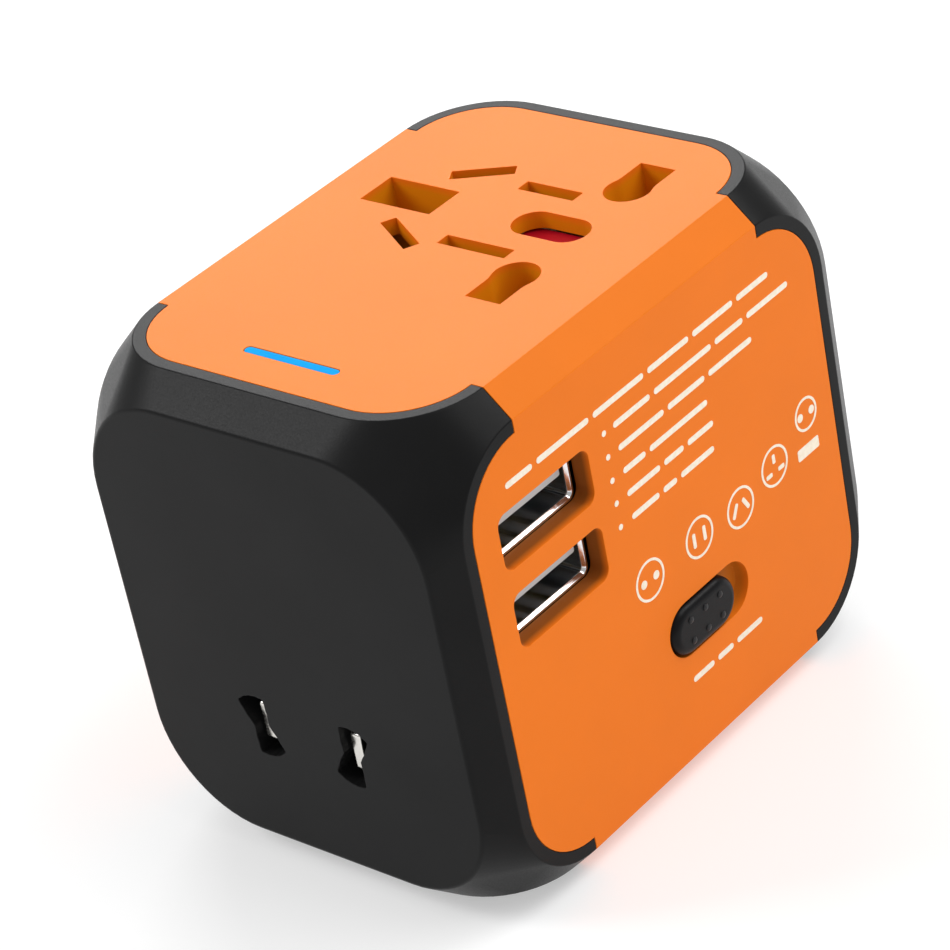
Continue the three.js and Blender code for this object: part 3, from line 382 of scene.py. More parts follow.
# name, azimuth and elevation in degrees, distance, width and height in metres, radiance
SOFTBOXES = (("back_softbox", 225, 31, 1.1, 0.58, 0.42, 5.8), ("right_softbox", 118, 58, 1.0, 0.6, 0.6, 3.7),
             ("edge_softbox", 146, 42, 1.0, 0.36, 0.36, 5.8), ("left_softbox", -54, 38, 1.0, 0.36, 0.5, 8.0))


def aim(obj, place, target, roll=0.0):
    """Puts an object at a place, with its own -Z towards the target."""
    forward = (Vector(target) - Vector(place)).normalized()
    right = forward.cross(Vector((0, 0, 1))).normalized()
    up = right.cross(forward)
    turn = Matrix.Rotation(-roll, 3, forward)
    axes = Matrix((turn @ right, turn @ up, -forward)).transposed()
    obj.matrix_world = Matrix.Translation(place) @ axes.to_4x4()


def around(azimuth, elevation, distance, target):
    """A place seen from the target at this azimuth, from -Y towards +X, and elevation, in degrees."""
    a, e = radians(azimuth), radians(elevation)
    back = Vector((sin(a) * cos(e), -cos(a) * cos(e), sin(e)))
    return Vector(target) + back * distance


def put(node, values):
    """Sets constants on a node's input sockets."""
    for name, value in values.items():
        node.inputs[name].default_value = value


def make_camera():
    data = bpy.data.cameras.new("camera")
    data.lens = CAMERA_LENS
    data.sensor_width = SENSOR_WIDTH
    data.clip_start = NEAREST_SEEN
    camera = bpy.data.objects.new("camera", data)
    bpy.context.scene.collection.objects.link(camera)
    target = Vector(CAMERA_AIM) * MM
    place = around(CAMERA_AZIMUTH, CAMERA_ELEVATION, CAMERA_DISTANCE * MM, target)
    aim(camera, place, target, radians(CAMERA_ROLL))
    bpy.context.scene.camera = camera


def softbox(name, azimuth, elevation, distance, width, height, radiance):
    data = bpy.data.lights.new(name, "AREA")
    data.shape = "RECTANGLE"
    data.size = width
    data.size_y = height
    data.energy = radiance * pi * width * height
    light = bpy.data.objects.new(name, data)
    bpy.context.scene.collection.objects.link(light)
    middle = (0.0, 0.0, MID_Z * MM)
    aim(light, around(azimuth, elevation, distance, middle), middle)


def make_stage():
    sheet = rounded(FLOOR_HALF, FLOOR_HALF, FLOOR_CORNER, 16)
    floor = as_object(prism(sheet, "Z", -FLOOR_THICKNESS, 0.0), "floor")
    floor.data.transform(Matrix.Scale(MM, 4))
    floor.data.transform(Matrix.Translation((0, 0, -FLOOR_DROP * MM)))
    material = bpy.data.materials.new("floor_paper")
    material.use_nodes = True
    put(material.node_tree.nodes["Principled BSDF"], {
        "Base Color": (0.6, 0.6, 0.6, 1), "Roughness": 0.9, "Specular IOR Level": 0.1,
        "Emission Color": (1, 1, 1, 1), "Emission Strength": FLOOR_GLOW})
    floor.data.materials.append(material)
    world = bpy.data.worlds.new("studio")
    bpy.context.scene.world = world
    world.use_nodes = True
    put(world.node_tree.nodes["Background"], {"Color": (1, 1, 1, 1), "Strength": WORLD_LIGHT})
    for row in SOFTBOXES:
        softbox(*row)
    bpy.context.scene.view_settings.view_transform = "Standard"


make_camera()
make_stage()


# ---- materials
class Finish:
    """A node material: a Principled shader fed by noise in the object's own coordinates, in metres."""

    def __init__(self, name, roughness, metallic=0.0, specular=0.5):
        self.material = bpy.data.materials.new(name)
        self.material.use_nodes = True
        self.tree = self.material.node_tree
        self.shader = self.tree.nodes["Principled BSDF"]
        put(self.shader, {"Metallic": metallic, "Specular IOR Level": specular, "Roughness": roughness})
        self.place = self.tree.nodes.new("ShaderNodeTexCoord").outputs["Object"]

    def link(self, output, socket):
        self.tree.links.new(output, socket)

    def noise(self, scale, detail, rough=0.5, stretch=None):
        node = self.tree.nodes.new("ShaderNodeTexNoise")
        put(node, {"Scale": scale, "Detail": detail, "Roughness": rough})
        place = self.place
        if stretch:
            mapping = self.tree.nodes.new("ShaderNodeMapping")
            put(mapping, {"Scale": stretch})
            self.link(place, mapping.inputs["Vector"])
            place = mapping.outputs["Vector"]
        self.link(place, node.inputs["Vector"])
        return node.outputs["Fac"]

    def spread(self, value, low, high, a=0.3, b=0.7):
        """Carries the range from a to b over to the range from low to high."""
        node = self.tree.nodes.new("ShaderNodeMapRange")
        put(node, {"From Min": a, "From Max": b, "To Min": low, "To Max": high})
        self.link(value, node.inputs["Value"])
        return node.outputs["Result"]

    def math(self, operation, first, second=0.0):
        """One arithmetic step; each side is a number or another output."""
        node = self.tree.nodes.new("ShaderNodeMath")
        node.operation = operation
        for socket, value in ((node.inputs[0], first), (node.inputs[1], second)):
            if isinstance(value, float):
                socket.default_value = value
            else:
                self.link(value, socket)
        return node.outputs["Value"]

    def axis(self, name):
        """A coordinate of the surface point, in metres."""
        node = self.tree.nodes.new("ShaderNodeSeparateXYZ")
        self.link(self.place, node.inputs["Vector"])
        return node.outputs[name]

    def mix(self, factor, first, second):
        """A blend by a factor; each side is a colour, another output, or a function of this finish."""
        first, second = (v(self) if callable(v) else v for v in (first, second))
        node = self.tree.nodes.new("ShaderNodeMix")
        node.data_type = "RGBA"
        self.link(factor, node.inputs[0])
        # the node's sockets for colours
        for socket, value in ((node.inputs[6], first), (node.inputs[7], second)):
            if isinstance(value, tuple):
                socket.default_value = (*value, 1.0)
            else:
                self.link(value, socket)
        return node.outputs[2]

    def colour(self, output):
        self.link(output, self.shader.inputs["Base Color"])

    def roughness(self, output):
        self.link(output, self.shader.inputs["Roughness"])

    def bump(self, height, distance, strength):
        node = self.tree.nodes.new("ShaderNodeBump")
        put(node, {"Distance": distance, "Strength": strength})
        self.link(height, node.inputs["Height"])
        self.link(node.outputs["Normal"], self.shader.inputs["Normal"])


def shade(colour, factor):
    """A lighter or darker copy of a colour."""
    return tuple(min(1.0, c * factor) for c in colour)


CLOUD_SCALE = 70
SCUFF_SCALE = 900
SCUFF_STRETCH = (0.25, 2.5, 2.0)
SATIN_RANGE = 0.06
TARNISH_SCALE = 160
BRUSH_SCALE = 2500
BRUSH_DEPTH_MM = 0.004


def plastic(name, colour, roughness, specular, grain_mm, grain_depth_mm, drift, scuff, mask=None,
            second=None, tint=None):
    """Moulded plastic: drifting colour, a fine eroded grain, faint scuffs, and a second colour in a mask."""
    finish = Finish(name, roughness, specular=specular)
    cloud = finish.spread(finish.noise(CLOUD_SCALE, 3), 0.0, 1.0, 0.35, 0.65)
    tone = finish.mix(cloud, shade(colour, 1 - drift), shade(colour, 1 + drift))
    grain = finish.noise(1 / (grain_mm * MM), 4, 0.6)
    scratch = finish.spread(finish.noise(SCUFF_SCALE, 5, 0.7, SCUFF_STRETCH), 0.0, 1.0, 0.66, 0.74)
    tone = finish.mix(scratch, tone, shade(colour, 1 + scuff))
    if mask:
        tone = finish.mix(mask(finish), tone, second)
    if tint:
        put(finish.shader, {"Specular Tint": tint})
    finish.colour(tone)
    finish.roughness(finish.spread(grain, roughness - SATIN_RANGE, roughness + SATIN_RANGE))
    finish.bump(grain, grain_depth_mm * MM, 0.6)
    return finish.material


def metal(name, colour, roughness, brush=(1.0, 1.0, 1.0), tarnish=0.12, mask=None, second=None):
    """Metal with faint tarnish and fine brushing, which the brush stretches along one axis."""
    finish = Finish(name, roughness, metallic=1.0)
    cloud = finish.spread(finish.noise(TARNISH_SCALE, 4), 0.0, 1.0, 0.4, 0.7)
    tone = finish.mix(cloud, colour, shade(colour, 1 - tarnish))
    if mask:
        tone = finish.mix(mask(finish), tone, second)
    finish.colour(tone)
    lines = finish.noise(BRUSH_SCALE, 3, 0.6, brush)
    finish.roughness(finish.spread(lines, roughness * 0.7, roughness * 1.35))
    finish.bump(lines, BRUSH_DEPTH_MM * MM, 0.5)
    return finish.material


def depths(finish):
    """How far a point lies in from the nearer side face, and from the top or bottom face."""
    side = finish.math("SUBTRACT", HALF_W * MM, finish.math("ABSOLUTE", finish.axis("X")))
    level = finish.math("ABSOLUTE", finish.math("SUBTRACT", finish.axis("Z"), MID_Z * MM))
    return side, finish.math("SUBTRACT", MID_Z * MM, level)


def painted_shade_depth(finish):
    """How far a point lies under the casing's faces and long chamfers, from 0 at the skin to 1 at 1 mm:
    where the painted shade of the holes and recesses falls.
    """
    side, lid = depths(finish)
    both = finish.math("SUBTRACT", finish.math("ADD", side, lid), CHAMFER * MM)
    chamfer = finish.math("MULTIPLY", both, cos(pi / 4))
    depth = finish.math("MINIMUM", finish.math("MINIMUM", side, lid), chamfer)
    return finish.spread(depth, 0.0, 1.0, 0.1 * MM, 1.0 * MM)


# painted shade: darker orange tones for the walls of the casing's holes and recesses
HOLE_WALL_SHADE = (0.70, 0.245, 0.004)
SLIDER_RECESS_SHADE = (0.56, 0.15, 0.01)
PORT_RECESS_SHADE = (0.30, 0.082, 0.012)
PORTS_END = USB_Y + 9.0


def recess_painted_shade(finish):
    """Painted shade: the orange darkened to ochre on the walls of the socket's holes, to deep orange in
    slider recesses, and to brown in port recesses.
    """
    side, lid = depths(finish)
    ports = finish.math("LESS_THAN", finish.axis("Y"), PORTS_END * MM)
    recess = finish.mix(ports, SLIDER_RECESS_SHADE, PORT_RECESS_SHADE)
    return finish.mix(finish.math("LESS_THAN", side, lid), HOLE_WALL_SHADE, recess)


def port_inside_painted_shade(finish):
    """Painted shade: a darker grey inside the port shells, from just behind the bright chamfer of the mouth.
    """
    mouth = (HALF_W - USB_RECESS) * MM
    return finish.spread(finish.axis("X"), 1.0, 0.0, mouth - 0.6 * MM, mouth - 0.45 * MM)


def grip_dots(finish):
    """The tops of the sliders' dots, by their distance from the middle of the casing."""
    reach = finish.math("ABSOLUTE", finish.axis("X"))
    crown = (HALF_W + SLIDER_PROUD) * MM
    return finish.spread(reach, 0.0, 1.0, crown + 0.03 * MM, crown + 0.12 * MM)


# name, colour, roughness, specular level, grain size and depth in mm, drift and scuff of the colour
# the orange's mask and second colour paint shade into the holes and recesses of the casing
ORANGE = plastic("orange_plastic", (0.82, 0.178, 0.009), 0.42, 0.13, 0.16, 0.010, 0.02, 0.03,
                 painted_shade_depth, recess_painted_shade, (1.0, 1.0, 0.5, 1.0))
BLACK = plastic("black_plastic", (0.0095, 0.0095, 0.0097), 0.35, 0.08, 0.2, 0.014, 0.1, 0.2)
SLIDER = plastic("slider_plastic", (0.005, 0.005, 0.0056), 0.36, 0.12, 0.25, 0.014, 0.1, 0.3,
                 grip_dots, (0.03, 0.03, 0.031))
INNER = plastic("inner_nylon", (0.02, 0.02, 0.021), 0.5, 0.3, 0.3, 0.02, 0.1, 0.2)
RED = plastic("shutter_nylon", (0.44, 0.005, 0.018), 0.38, 0.25, 0.3, 0.01, 0.06, 0.1)
IVORY = plastic("ivory_insulator", (0.72, 0.67, 0.54), 0.5, 0.4, 0.3, 0.02, 0.06, 0.05)
TONGUE_GREY = plastic("port_tongue", (0.6, 0.61, 0.6), 0.4, 0.4, 0.2, 0.01, 0.04, 0.05)
CERAMIC = plastic("fuse_ceramic", (0.78, 0.75, 0.68), 0.3, 0.5, 0.4, 0.01, 0.05, 0.03)
TAPE = plastic("transformer_tape", (0.62, 0.38, 0.04), 0.35, 0.5, 0.8, 0.02, 0.15, 0.1)
# name, colour, roughness, brush, tarnish
NICKEL = metal("nickel_plate", (0.72, 0.7, 0.66), 0.2, (1.0, 0.06, 1.0))
# the mask and second colour paint a darker shade inside the port shells
CHROME = metal("port_plate", (0.86, 0.86, 0.86), 0.16, (0.06, 1.0, 1.0), 0.06,
               port_inside_painted_shade, (0.55, 0.57, 0.6))
BRASS = metal("pin_brass", (0.78, 0.6, 0.3), 0.24, (1.0, 0.06, 1.0))
CONTACT = metal("contact_bronze", (0.7, 0.42, 0.16), 0.3, (0.1, 1.0, 1.0))
GOLD = metal("contact_gold", (0.85, 0.6, 0.2), 0.2, (0.1, 1.0, 1.0))
STEEL = metal("spring_steel", (0.5, 0.5, 0.51), 0.28)
SCREW = metal("screw_steel", (0.22, 0.22, 0.23), 0.34)
CAN = metal("capacitor_can", (0.6, 0.62, 0.66), 0.3, (0.05, 1.0, 1.0))


def ink_material():
    finish = Finish("white_ink", 0.5, specular=0.3)
    cloud = finish.spread(finish.noise(1800, 3), 0.0, 1.0, 0.35, 0.7)
    finish.colour(finish.mix(cloud, (0.93, 0.84, 0.7), (0.84, 0.74, 0.58)))
    finish.bump(finish.noise(9000, 2), 0.004 * MM, 0.5)
    return finish.material


def light_material():
    finish = Finish("blue_light_guide", 0.4, specular=0.01)
    glow = finish.spread(finish.noise(260, 2), 0.0, 1.0, 0.3, 0.7)
    finish.colour(finish.mix(glow, (0.001, 0.19, 0.44), (0.002, 0.23, 0.5)))
    put(finish.shader, {"Emission Color": (0.0, 0.38, 0.95, 1.0), "Emission Strength": 0.42})
    finish.bump(finish.noise(3000, 3), 0.006 * MM, 0.4)
    return finish.material


def board_material():
    finish = Finish("circuit_board", 0.35, specular=0.5)
    traces = finish.tree.nodes.new("ShaderNodeTexBrick")
    put(traces, {"Scale": 420, "Mortar Size": 0.03, "Color1": (0.01, 0.12, 0.045, 1),
                 "Color2": (0.012, 0.15, 0.055, 1), "Mortar": (0.03, 0.3, 0.1, 1)})
    turn = finish.tree.nodes.new("ShaderNodeMapping")
    put(turn, {"Rotation": (0, pi / 2, 0)})
    finish.link(finish.place, turn.inputs["Vector"])
    finish.link(turn.outputs["Vector"], traces.inputs["Vector"])
    finish.colour(traces.outputs["Color"])
    finish.roughness(finish.spread(finish.noise(900, 3), 0.28, 0.42))
    return finish.material


INK = ink_material()
LIGHT = light_material()
BOARD = board_material()


# ---- casing
EDGE_STEPS = 9


def end_rim(side, inset, edge, softness):
    """Points round one end face, on its sharp edge or on the rounding of that edge."""
    end_u = HALF_W - END_INSET_X - edge
    end_v = MID_Z - END_INSET_Z - edge
    core = END_RADIUS - edge
    y = HALF_D - inset
    if softness <= 0:
        return [(u, side * y, MID_Z + v) for u, v in rounded(end_u, end_v, core)]
    # the middle of the rounding sits inside the end face, so that it meets face and bevel smoothly
    slope_u, slope_v = atan2(END_INSET_X, END_RUN), atan2(END_INSET_Z, END_RUN)
    in_u = softness * (1 - sin(slope_u)) / cos(slope_u)
    in_v = softness * (1 - sin(slope_v)) / cos(slope_v)
    points = []
    for cu, cv, angle in corner_arcs(end_u, end_v, core):
        for k in range(EDGE_STEPS + 1):
            lift = 0.5 * pi * k / EDGE_STEPS
            reach = softness * cos(lift)
            points.append((cu + (core - in_u + reach) * cos(angle),
                           side * (y - softness + softness * sin(lift)),
                           MID_Z + cv + (core - in_v + reach) * sin(angle)))
    return points


def envelope(inset, softness=0.0):
    """The casing's outer form, or the same moved in; softness rounds the edges of the two end faces."""
    edge = inset * tan(pi / 8)
    half_x = HALF_W - CHAMFER - edge
    half_z = MID_Z - CHAMFER - edge
    half_y = FACE_HALF_Y - edge
    radius = FACE_RADIUS - edge
    points = []
    for side in (-1, 1):
        x = side * (HALF_W - inset)
        z = MID_Z + side * (MID_Z - inset)
        points += [(u, v, z) for u, v in rounded(half_x, half_y, radius)]
        points += [(x, u, MID_Z + v) for u, v in rounded(half_y, half_z, radius)]
        points += end_rim(side, inset, edge, softness)
    return hull(points)


def panels(grow, outwards):
    """The four orange panels, grown all round and carried outwards."""
    radius = FACE_RADIUS - RIM + grow
    half_y = FACE_HALF_Y - RIM + grow
    flat = rounded(HALF_W - CHAMFER - RIM + grow, half_y, radius)
    upright = moved(rounded(half_y, MID_Z - CHAMFER - RIM + grow, radius), 0, MID_Z)
    thick = TONGUE + grow
    return [
        prism(flat, "Z", HEIGHT - thick, HEIGHT + outwards),
        prism(flat, "Z", -outwards, thick),
        prism(upright, "X", HALF_W - thick, HALF_W + outwards),
        prism(upright, "X", -HALF_W - outwards, -HALF_W + thick),
    ]


FILLET_STEPS = 6


def live_outline(side, grow, steps=20):
    """A rectangular live slot that runs into the round hole nearer the middle, with a fillet each side."""
    half = LIVE_SLOT_WIDTH / 2 + grow
    pitch = ROUND_PITCH / 2
    r = ROUND_RADIUS + grow
    fillet = LIVE_FILLET - grow
    rise = ((r + fillet) ** 2 - (half + fillet) ** 2) ** 0.5
    first = atan2(rise, half + fillet)
    curve = []
    for k in range(FILLET_STEPS + 1):
        angle = first * k / FILLET_STEPS
        curve.append((half + fillet - fillet * cos(angle), pitch + rise - fillet * sin(angle)))
    sweep = pi + 2 * first
    arc = [(r * cos(first - sweep * k / steps), pitch + r * sin(first - sweep * k / steps))
           for k in range(1, steps)]
    back = [(-u, v) for u, v in reversed(curve)]
    points = [(-half, LIVE_SLOT_END + grow), (half, LIVE_SLOT_END + grow)] + curve + arc + back
    return [(SOCKET_X + u, SOCKET_Y + side * v) for u, v in points]


def earth_outline(grow):
    x, y = EARTH_HOLE
    hole = rectangle(-x / 2 - grow, x / 2 + grow, -y / 2 - grow, y / 2 + grow)
    return moved(hole, SOCKET_X - EARTH_OFFSET, SOCKET_Y)


def blade_outlines():
    found = []
    for y, length in BLADE_SLOTS:
        slot = rectangle(-length / 2, length / 2, -SLOT_WIDTH / 2, SLOT_WIDTH / 2)
        found.append(moved(slot, SOCKET_X + BLADE_ROW, SOCKET_Y + y))
    for side in (-1, 1):
        slot = rectangle(-SLANT_LENGTH / 2, SLANT_LENGTH / 2, -SLOT_WIDTH / 2, SLOT_WIDTH / 2)
        found.append(moved(slot, SOCKET_X + SLANT_ROW, SOCKET_Y + side * SLANT_Y, side * SLANT_ANGLE))
    return found


def oval_outline():
    x, y = OVAL_HOLE
    return moved(rounded(x / 2, y / 2, y / 2), SOCKET_X + OVAL_OFFSET, SOCKET_Y)


def light_outline(grow):
    return moved(rounded(LIGHT_LENGTH / 2 + grow, LIGHT_WIDTH / 2 + grow, LIGHT_WIDTH, 6), 0, LIGHT_Y)


def usb_window(z, grow, x0, x1):
    y, height = USB_WINDOW
    window = rounded(y / 2 + grow, height / 2 + grow, USB_WINDOW_RADIUS + grow, 8)
    return prism(moved(window, USB_Y, z), "X", x0, x1)


def stadium(length, height, steps=16):
    return rounded(length / 2, height / 2, height / 2, steps)


def slider_place(bm, side, y):
    """Moves a solid made about the origin to a slider's place on a side face."""
    return shifted(bm, side * HALF_W, y, SLIDER_Z, 0.0 if side > 0 else pi)


def slider_recess(side, y):
    length, height = SLIDER_RECESS
    cut = SLIDER_RECESS_CHAMFER
    mouth = stadium(length, height)
    bm = loft("X", (stadium(length - cut, height - cut), -SLIDER_RECESS_DEPTH),
              (mouth, -SLIDER_RECESS_DEPTH + cut), (mouth, 2 * PAST))
    return slider_place(bm, side, y)


def slider_slot(side, y):
    half = SLIDER_STEM / 2
    reach = half + SLIDER_TRAVEL / 2 + PIN_CLEARANCE
    high = half + PIN_CLEARANCE
    return slider_place(box(-SLIDER_SLOT_DEPTH, PAST, -reach, reach, -high, high), side, y)


def slider_pad(side, y):
    wall, foot = 1.2, -3.8
    pad = rounded(SLIDER_RECESS[0] / 2 + wall, SLIDER_RECESS[1] / 2 + wall, SLIDER_RECESS[1] / 2 + wall)
    return slider_place(prism(pad, "X", foot, -SLEEVE_WALL + SINK), side, y)


def slab(y0, y1):
    """A block wider and taller than the casing, from one place along it to another."""
    return box(-HALF_W - PAST, HALF_W + PAST, y0, y1, -PAST, HEIGHT + PAST)


def make_sleeve():
    outer = as_object(envelope(0.0))
    combine(outer, [slab(-RING_END, RING_END)], "INTERSECT")
    carve(outer, envelope(SLEEVE_WALL))
    foot = HEIGHT - COLLAR_DEPTH
    under = HEIGHT - SINK
    parts = panels(0.0, 0.0)
    parts += [prism(live_outline(side, COLLAR_WALL), "Z", foot, under) for side in (-1, 1)]
    parts.append(prism(earth_outline(COLLAR_WALL), "Z", foot, under))
    parts += [usb_window(z, USB_COLLAR_WALL, HALF_W - USB_RECESS, HALF_W - SINK) for z in USB_Z]
    parts += [slider_pad(side, y) for _, side, y, _ in SLIDERS]
    post_end = RING_END - POST_GAP
    for x, z in SCREW_PLACES:
        parts.append(prism(circle(SLEEVE_POST_RADIUS, 24, (x, z)), "Y", POST_START, post_end))
        rib = sorted((x, x + (RIB[0] if x > 0 else -RIB[0])))
        parts.append(box(rib[0], rib[1], POST_START, post_end, z - RIB[1] / 2, z + RIB[1] / 2))
    weld(outer, *parts)
    above = HEIGHT + PAST
    cuts = [prism(live_outline(side, 0.0), "Z", foot - PAST, above) for side in (-1, 1)]
    cuts.append(prism(earth_outline(0.0), "Z", foot - PAST, above))
    cuts += [prism(outline, "Z", HEIGHT - HOLE_DEPTH, above)
             for outline in (*blade_outlines(), oval_outline(), light_outline(0.05))]
    cuts += [usb_window(z, 0.0, HALF_W - USB_RECESS - PAST, HALF_W + PAST) for z in USB_Z]
    for _, side, y, _ in SLIDERS:
        cuts += [slider_recess(side, y), slider_slot(side, y)]
    cuts += [prism(circle(SCREW_HOLE_RADIUS, 20, p), "Y", 0, HALF_D) for p in SCREW_PLACES]
    carve(outer, *cuts)
    piece("sleeve_shell", outer, ORANGE, "casing", ["body_sleeve"], bevel=SLEEVE_BEVEL)


def cap_cup(side):
    """The plain cup of one end cap, without its holes."""
    cup = as_object(envelope(0.0, END_SOFTNESS))
    combine(cup, [slab(*sorted((side * (RING_END + SEAM), side * (HALF_D + PAST))))], "INTERSECT")
    carve(cup, envelope(CAP_WALL))
    carve(cup, *panels(SEAM, PAST))
    return cup


TURN_STEPS = 6
NOTHING = 1e-9


def swept_slot(side, directions=96, blend=5):
    """The room that a flat blade sweeps as it turns from straight to slanted, with a rounded waist."""
    half_t = BLADE_SECTION[0] / 2 + PIN_CLEARANCE
    half_l = BLADE_SECTION[1] / 2 + SLOT_END_CLEARANCE
    turns = [SLANT_ANGLE * k / TURN_STEPS for k in range(TURN_STEPS + 1)]
    reach = []
    for k in range(directions):
        du, dv = cos(2 * pi * k / directions), sin(2 * pi * k / directions)
        spans = []
        for turn in turns:
            u = abs(du * cos(turn) - dv * sin(turn)) + NOTHING
            v = abs(du * sin(turn) + dv * cos(turn)) + NOTHING
            spans.append(min(half_t / u, half_l / v))
        reach.append(max(spans))
    points = []
    for k in range(directions):
        near = [reach[(k + step) % directions] for step in range(-blend, blend + 1)]
        r = max(reach[k], sum(near) / len(near) * WAIST_SHARE)
        angle = 2 * pi * k / directions
        points.append((side * (BLADE_X + r * cos(angle)), PLUG_Z + r * sin(angle)))
    return prism(points, "Y", -HALF_D - PAST, -HALF_D + CAP_WALL + PAST)


def make_front_cap():
    cap = cap_cup(-1)
    gap, depth = LIGHT_ROOM
    light_room = prism(light_outline(gap), "Z", HEIGHT - depth, HEIGHT + PAST)
    gap, depth = USB_ROOM
    port_rooms = [usb_window(z, USB_COLLAR_WALL + gap, HALF_W - depth, HALF_W + PAST) for z in USB_Z]
    carve(cap, swept_slot(1), swept_slot(-1), light_room, *port_rooms)
    piece("front_cap_shell", cap, BLACK, "casing", ["front_cap"], bevel=CAP_BEVEL)


def pin_hole(x, z, section):
    u, v = section[0] / 2 + PIN_CLEARANCE, section[1] / 2 + PIN_CLEARANCE
    return prism(moved(rounded(u, v, 0.5, 4), x, z), "Y", HALF_D - CAP_WALL - PAST, HALF_D + PAST)


def make_rear_cap():
    cap = cap_cup(1)
    inner = HALF_D - CAP_WALL
    past = HALF_D + PAST
    post = RING_END + POST_GAP
    weld(cap, *[prism(circle(CAP_POST_RADIUS, 32, p), "Y", post, inner + PAST) for p in SCREW_PLACES])
    cuts = []
    for p in SCREW_PLACES:
        cuts.append(prism(circle(SCREW_HOLE_RADIUS, 24, p), "Y", 0, past))
        cuts.append(prism(circle(SCREW_SEAT_RADIUS, 32, p), "Y", HALF_D - SCREW_SEAT_DEPTH, past))
    for side in (-1, 1):
        hole = circle(ROUND_PIN_RADIUS + PIN_CLEARANCE, 40, (side * ROUND_PIN_X, PLUG_Z))
        cuts.append(prism(hole, "Y", inner - PAST, past))
        cuts.append(pin_hole(side * LONG_PIN_X, LONG_PIN_Z, LONG_PIN_SECTION))
    cuts.append(pin_hole(0, LONG_PIN_Z + LONG_EARTH_RISE, LONG_EARTH_SECTION))
    cuts.append(prism(live_outline(1, COLLAR_WALL + SEAM), "Z", HEIGHT - COLLAR_DEPTH - PAST, HEIGHT))
    carve(cap, *cuts)
    piece("rear_cap_shell", cap, BLACK, "casing", ["rear_cap"], bevel=CAP_BEVEL)


make_sleeve()
make_front_cap()
make_rear_cap()


# ---- release sliders
KNOB_ROUND = (0.95, 1.0)        # depth and run of the knob's soft bevel
KNOB_STEPS = 6
DOT_PITCH = (2.6, 2.6)
KNOB_GAP = 0.25                 # over the floor of the recess
STEM_LAP = 0.4                  # of the stem's top over the knob's foot
# radius and height of a dot's outline, from the top of the knob
GRIP_DOT = ((0.0, -0.2), (0.44, -0.2), (0.42, 0.03), (0.33, 0.13), (0.17, 0.19), (0.0, 0.2))


def make_slider(name, side, y, way):
    """A stadium button with a wide soft bevel, six grip dots, and a stem through the wall."""
    length, height = SLIDER_KNOB
    foot = -SLIDER_RECESS_DEPTH + KNOB_GAP
    rings = [(stadium(length, height), foot)]
    depth, run = KNOB_ROUND
    for k in range(KNOB_STEPS + 1):
        angle = 0.5 * pi * k / KNOB_STEPS
        inset = run * (1 - cos(angle))
        rings.append((stadium(length - 2 * inset, height - 2 * inset),
                      SLIDER_PROUD - depth + depth * sin(angle)))
    body = as_object(loft("X", *rings))
    nose = node_box(name)
    reach = HALF_W - min(abs(nose[0].x), abs(nose[1].x))
    half = SLIDER_STEM / 2
    weld(body, box(-reach, foot + STEM_LAP, -half, half, -half, half))
    dots = []
    for row in (-1, 1):
        for column in (-1, 0, 1):
            dots.append(shifted(turned(GRIP_DOT, "X", 20), SLIDER_PROUD, column * DOT_PITCH[0],
                                row * DOT_PITCH[1] / 2))
    weld(body, *dots)
    rest = -way * SLIDER_TRAVEL / 2
    turn = 0.0 if side > 0 else pi
    body.data.transform(Matrix.Translation((side * HALF_W, y, SLIDER_Z)) @ Matrix.Rotation(turn, 4, "Z")
                        @ Matrix.Translation((0, rest, 0)))
    piece(name + "_button", body, SLIDER, name, [name], sharp=55.0)


for slider in SLIDERS:
    make_slider(*slider)


# ---- USB ports
def make_usb(index, z):
    """A plated shell with a rolled lip round its mouth, a tongue, and four contacts under the tongue."""
    y_size, z_size = USB_SHELL
    mouth = HALF_W - USB_RECESS
    back = mouth - USB_LENGTH

    def section(grow, radius):
        return moved(rounded(y_size / 2 + grow, z_size / 2 + grow, radius, 6), USB_Y, z)

    sheet, flare, chamfer = 0.3, 0.28, 0.38
    plain, lip, hollow = section(0, 0.7), section(flare, 0.95), section(-sheet, 0.5)
    outer = loft("X", (plain, back), (plain, mouth - 0.75), (lip, mouth - 0.4), (lip, mouth))
    inner = loft("X", (hollow, back + 1), (hollow, mouth - 1.4), (hollow, mouth - chamfer),
                 (section(0.0, 0.75), mouth + 0.02))
    shell = carve(as_object(outer), inner)
    piece(f"usb_shell_{index}_plate", shell, CHROME, "casing", [f"usb_shell_{index}"],
          bevel=0.05, sharp=50.0)
    low, high = node_box(f"usb_tongue_{index}")
    tongue = as_object(prism(rounded(5.5, 0.9, 0.25, 4), "X", low.x, high.x))
    tongue.data.transform(Matrix.Translation((0, USB_Y, z + 1.1)))
    weld(tongue, box(low.x, low.x + 2.4, low.y, high.y, low.z, high.z))
    piece(f"usb_tongue_{index}_moulding", tongue, TONGUE_GREY, "casing",
          [f"usb_tongue_{index}"], bevel=0.1)
    for k, y in enumerate(USB_CONTACTS):
        strip = prism(moved(rounded(0.5, 0.12, 0.1, 3), USB_Y + y, z + 0.16), "X", low.x + 2, high.x - 0.9)
        piece(f"usb_contact_{index}_{k + 1}", strip, GOLD, "casing")


for number, height in enumerate(USB_Z, 1):
    make_usb(number, height)


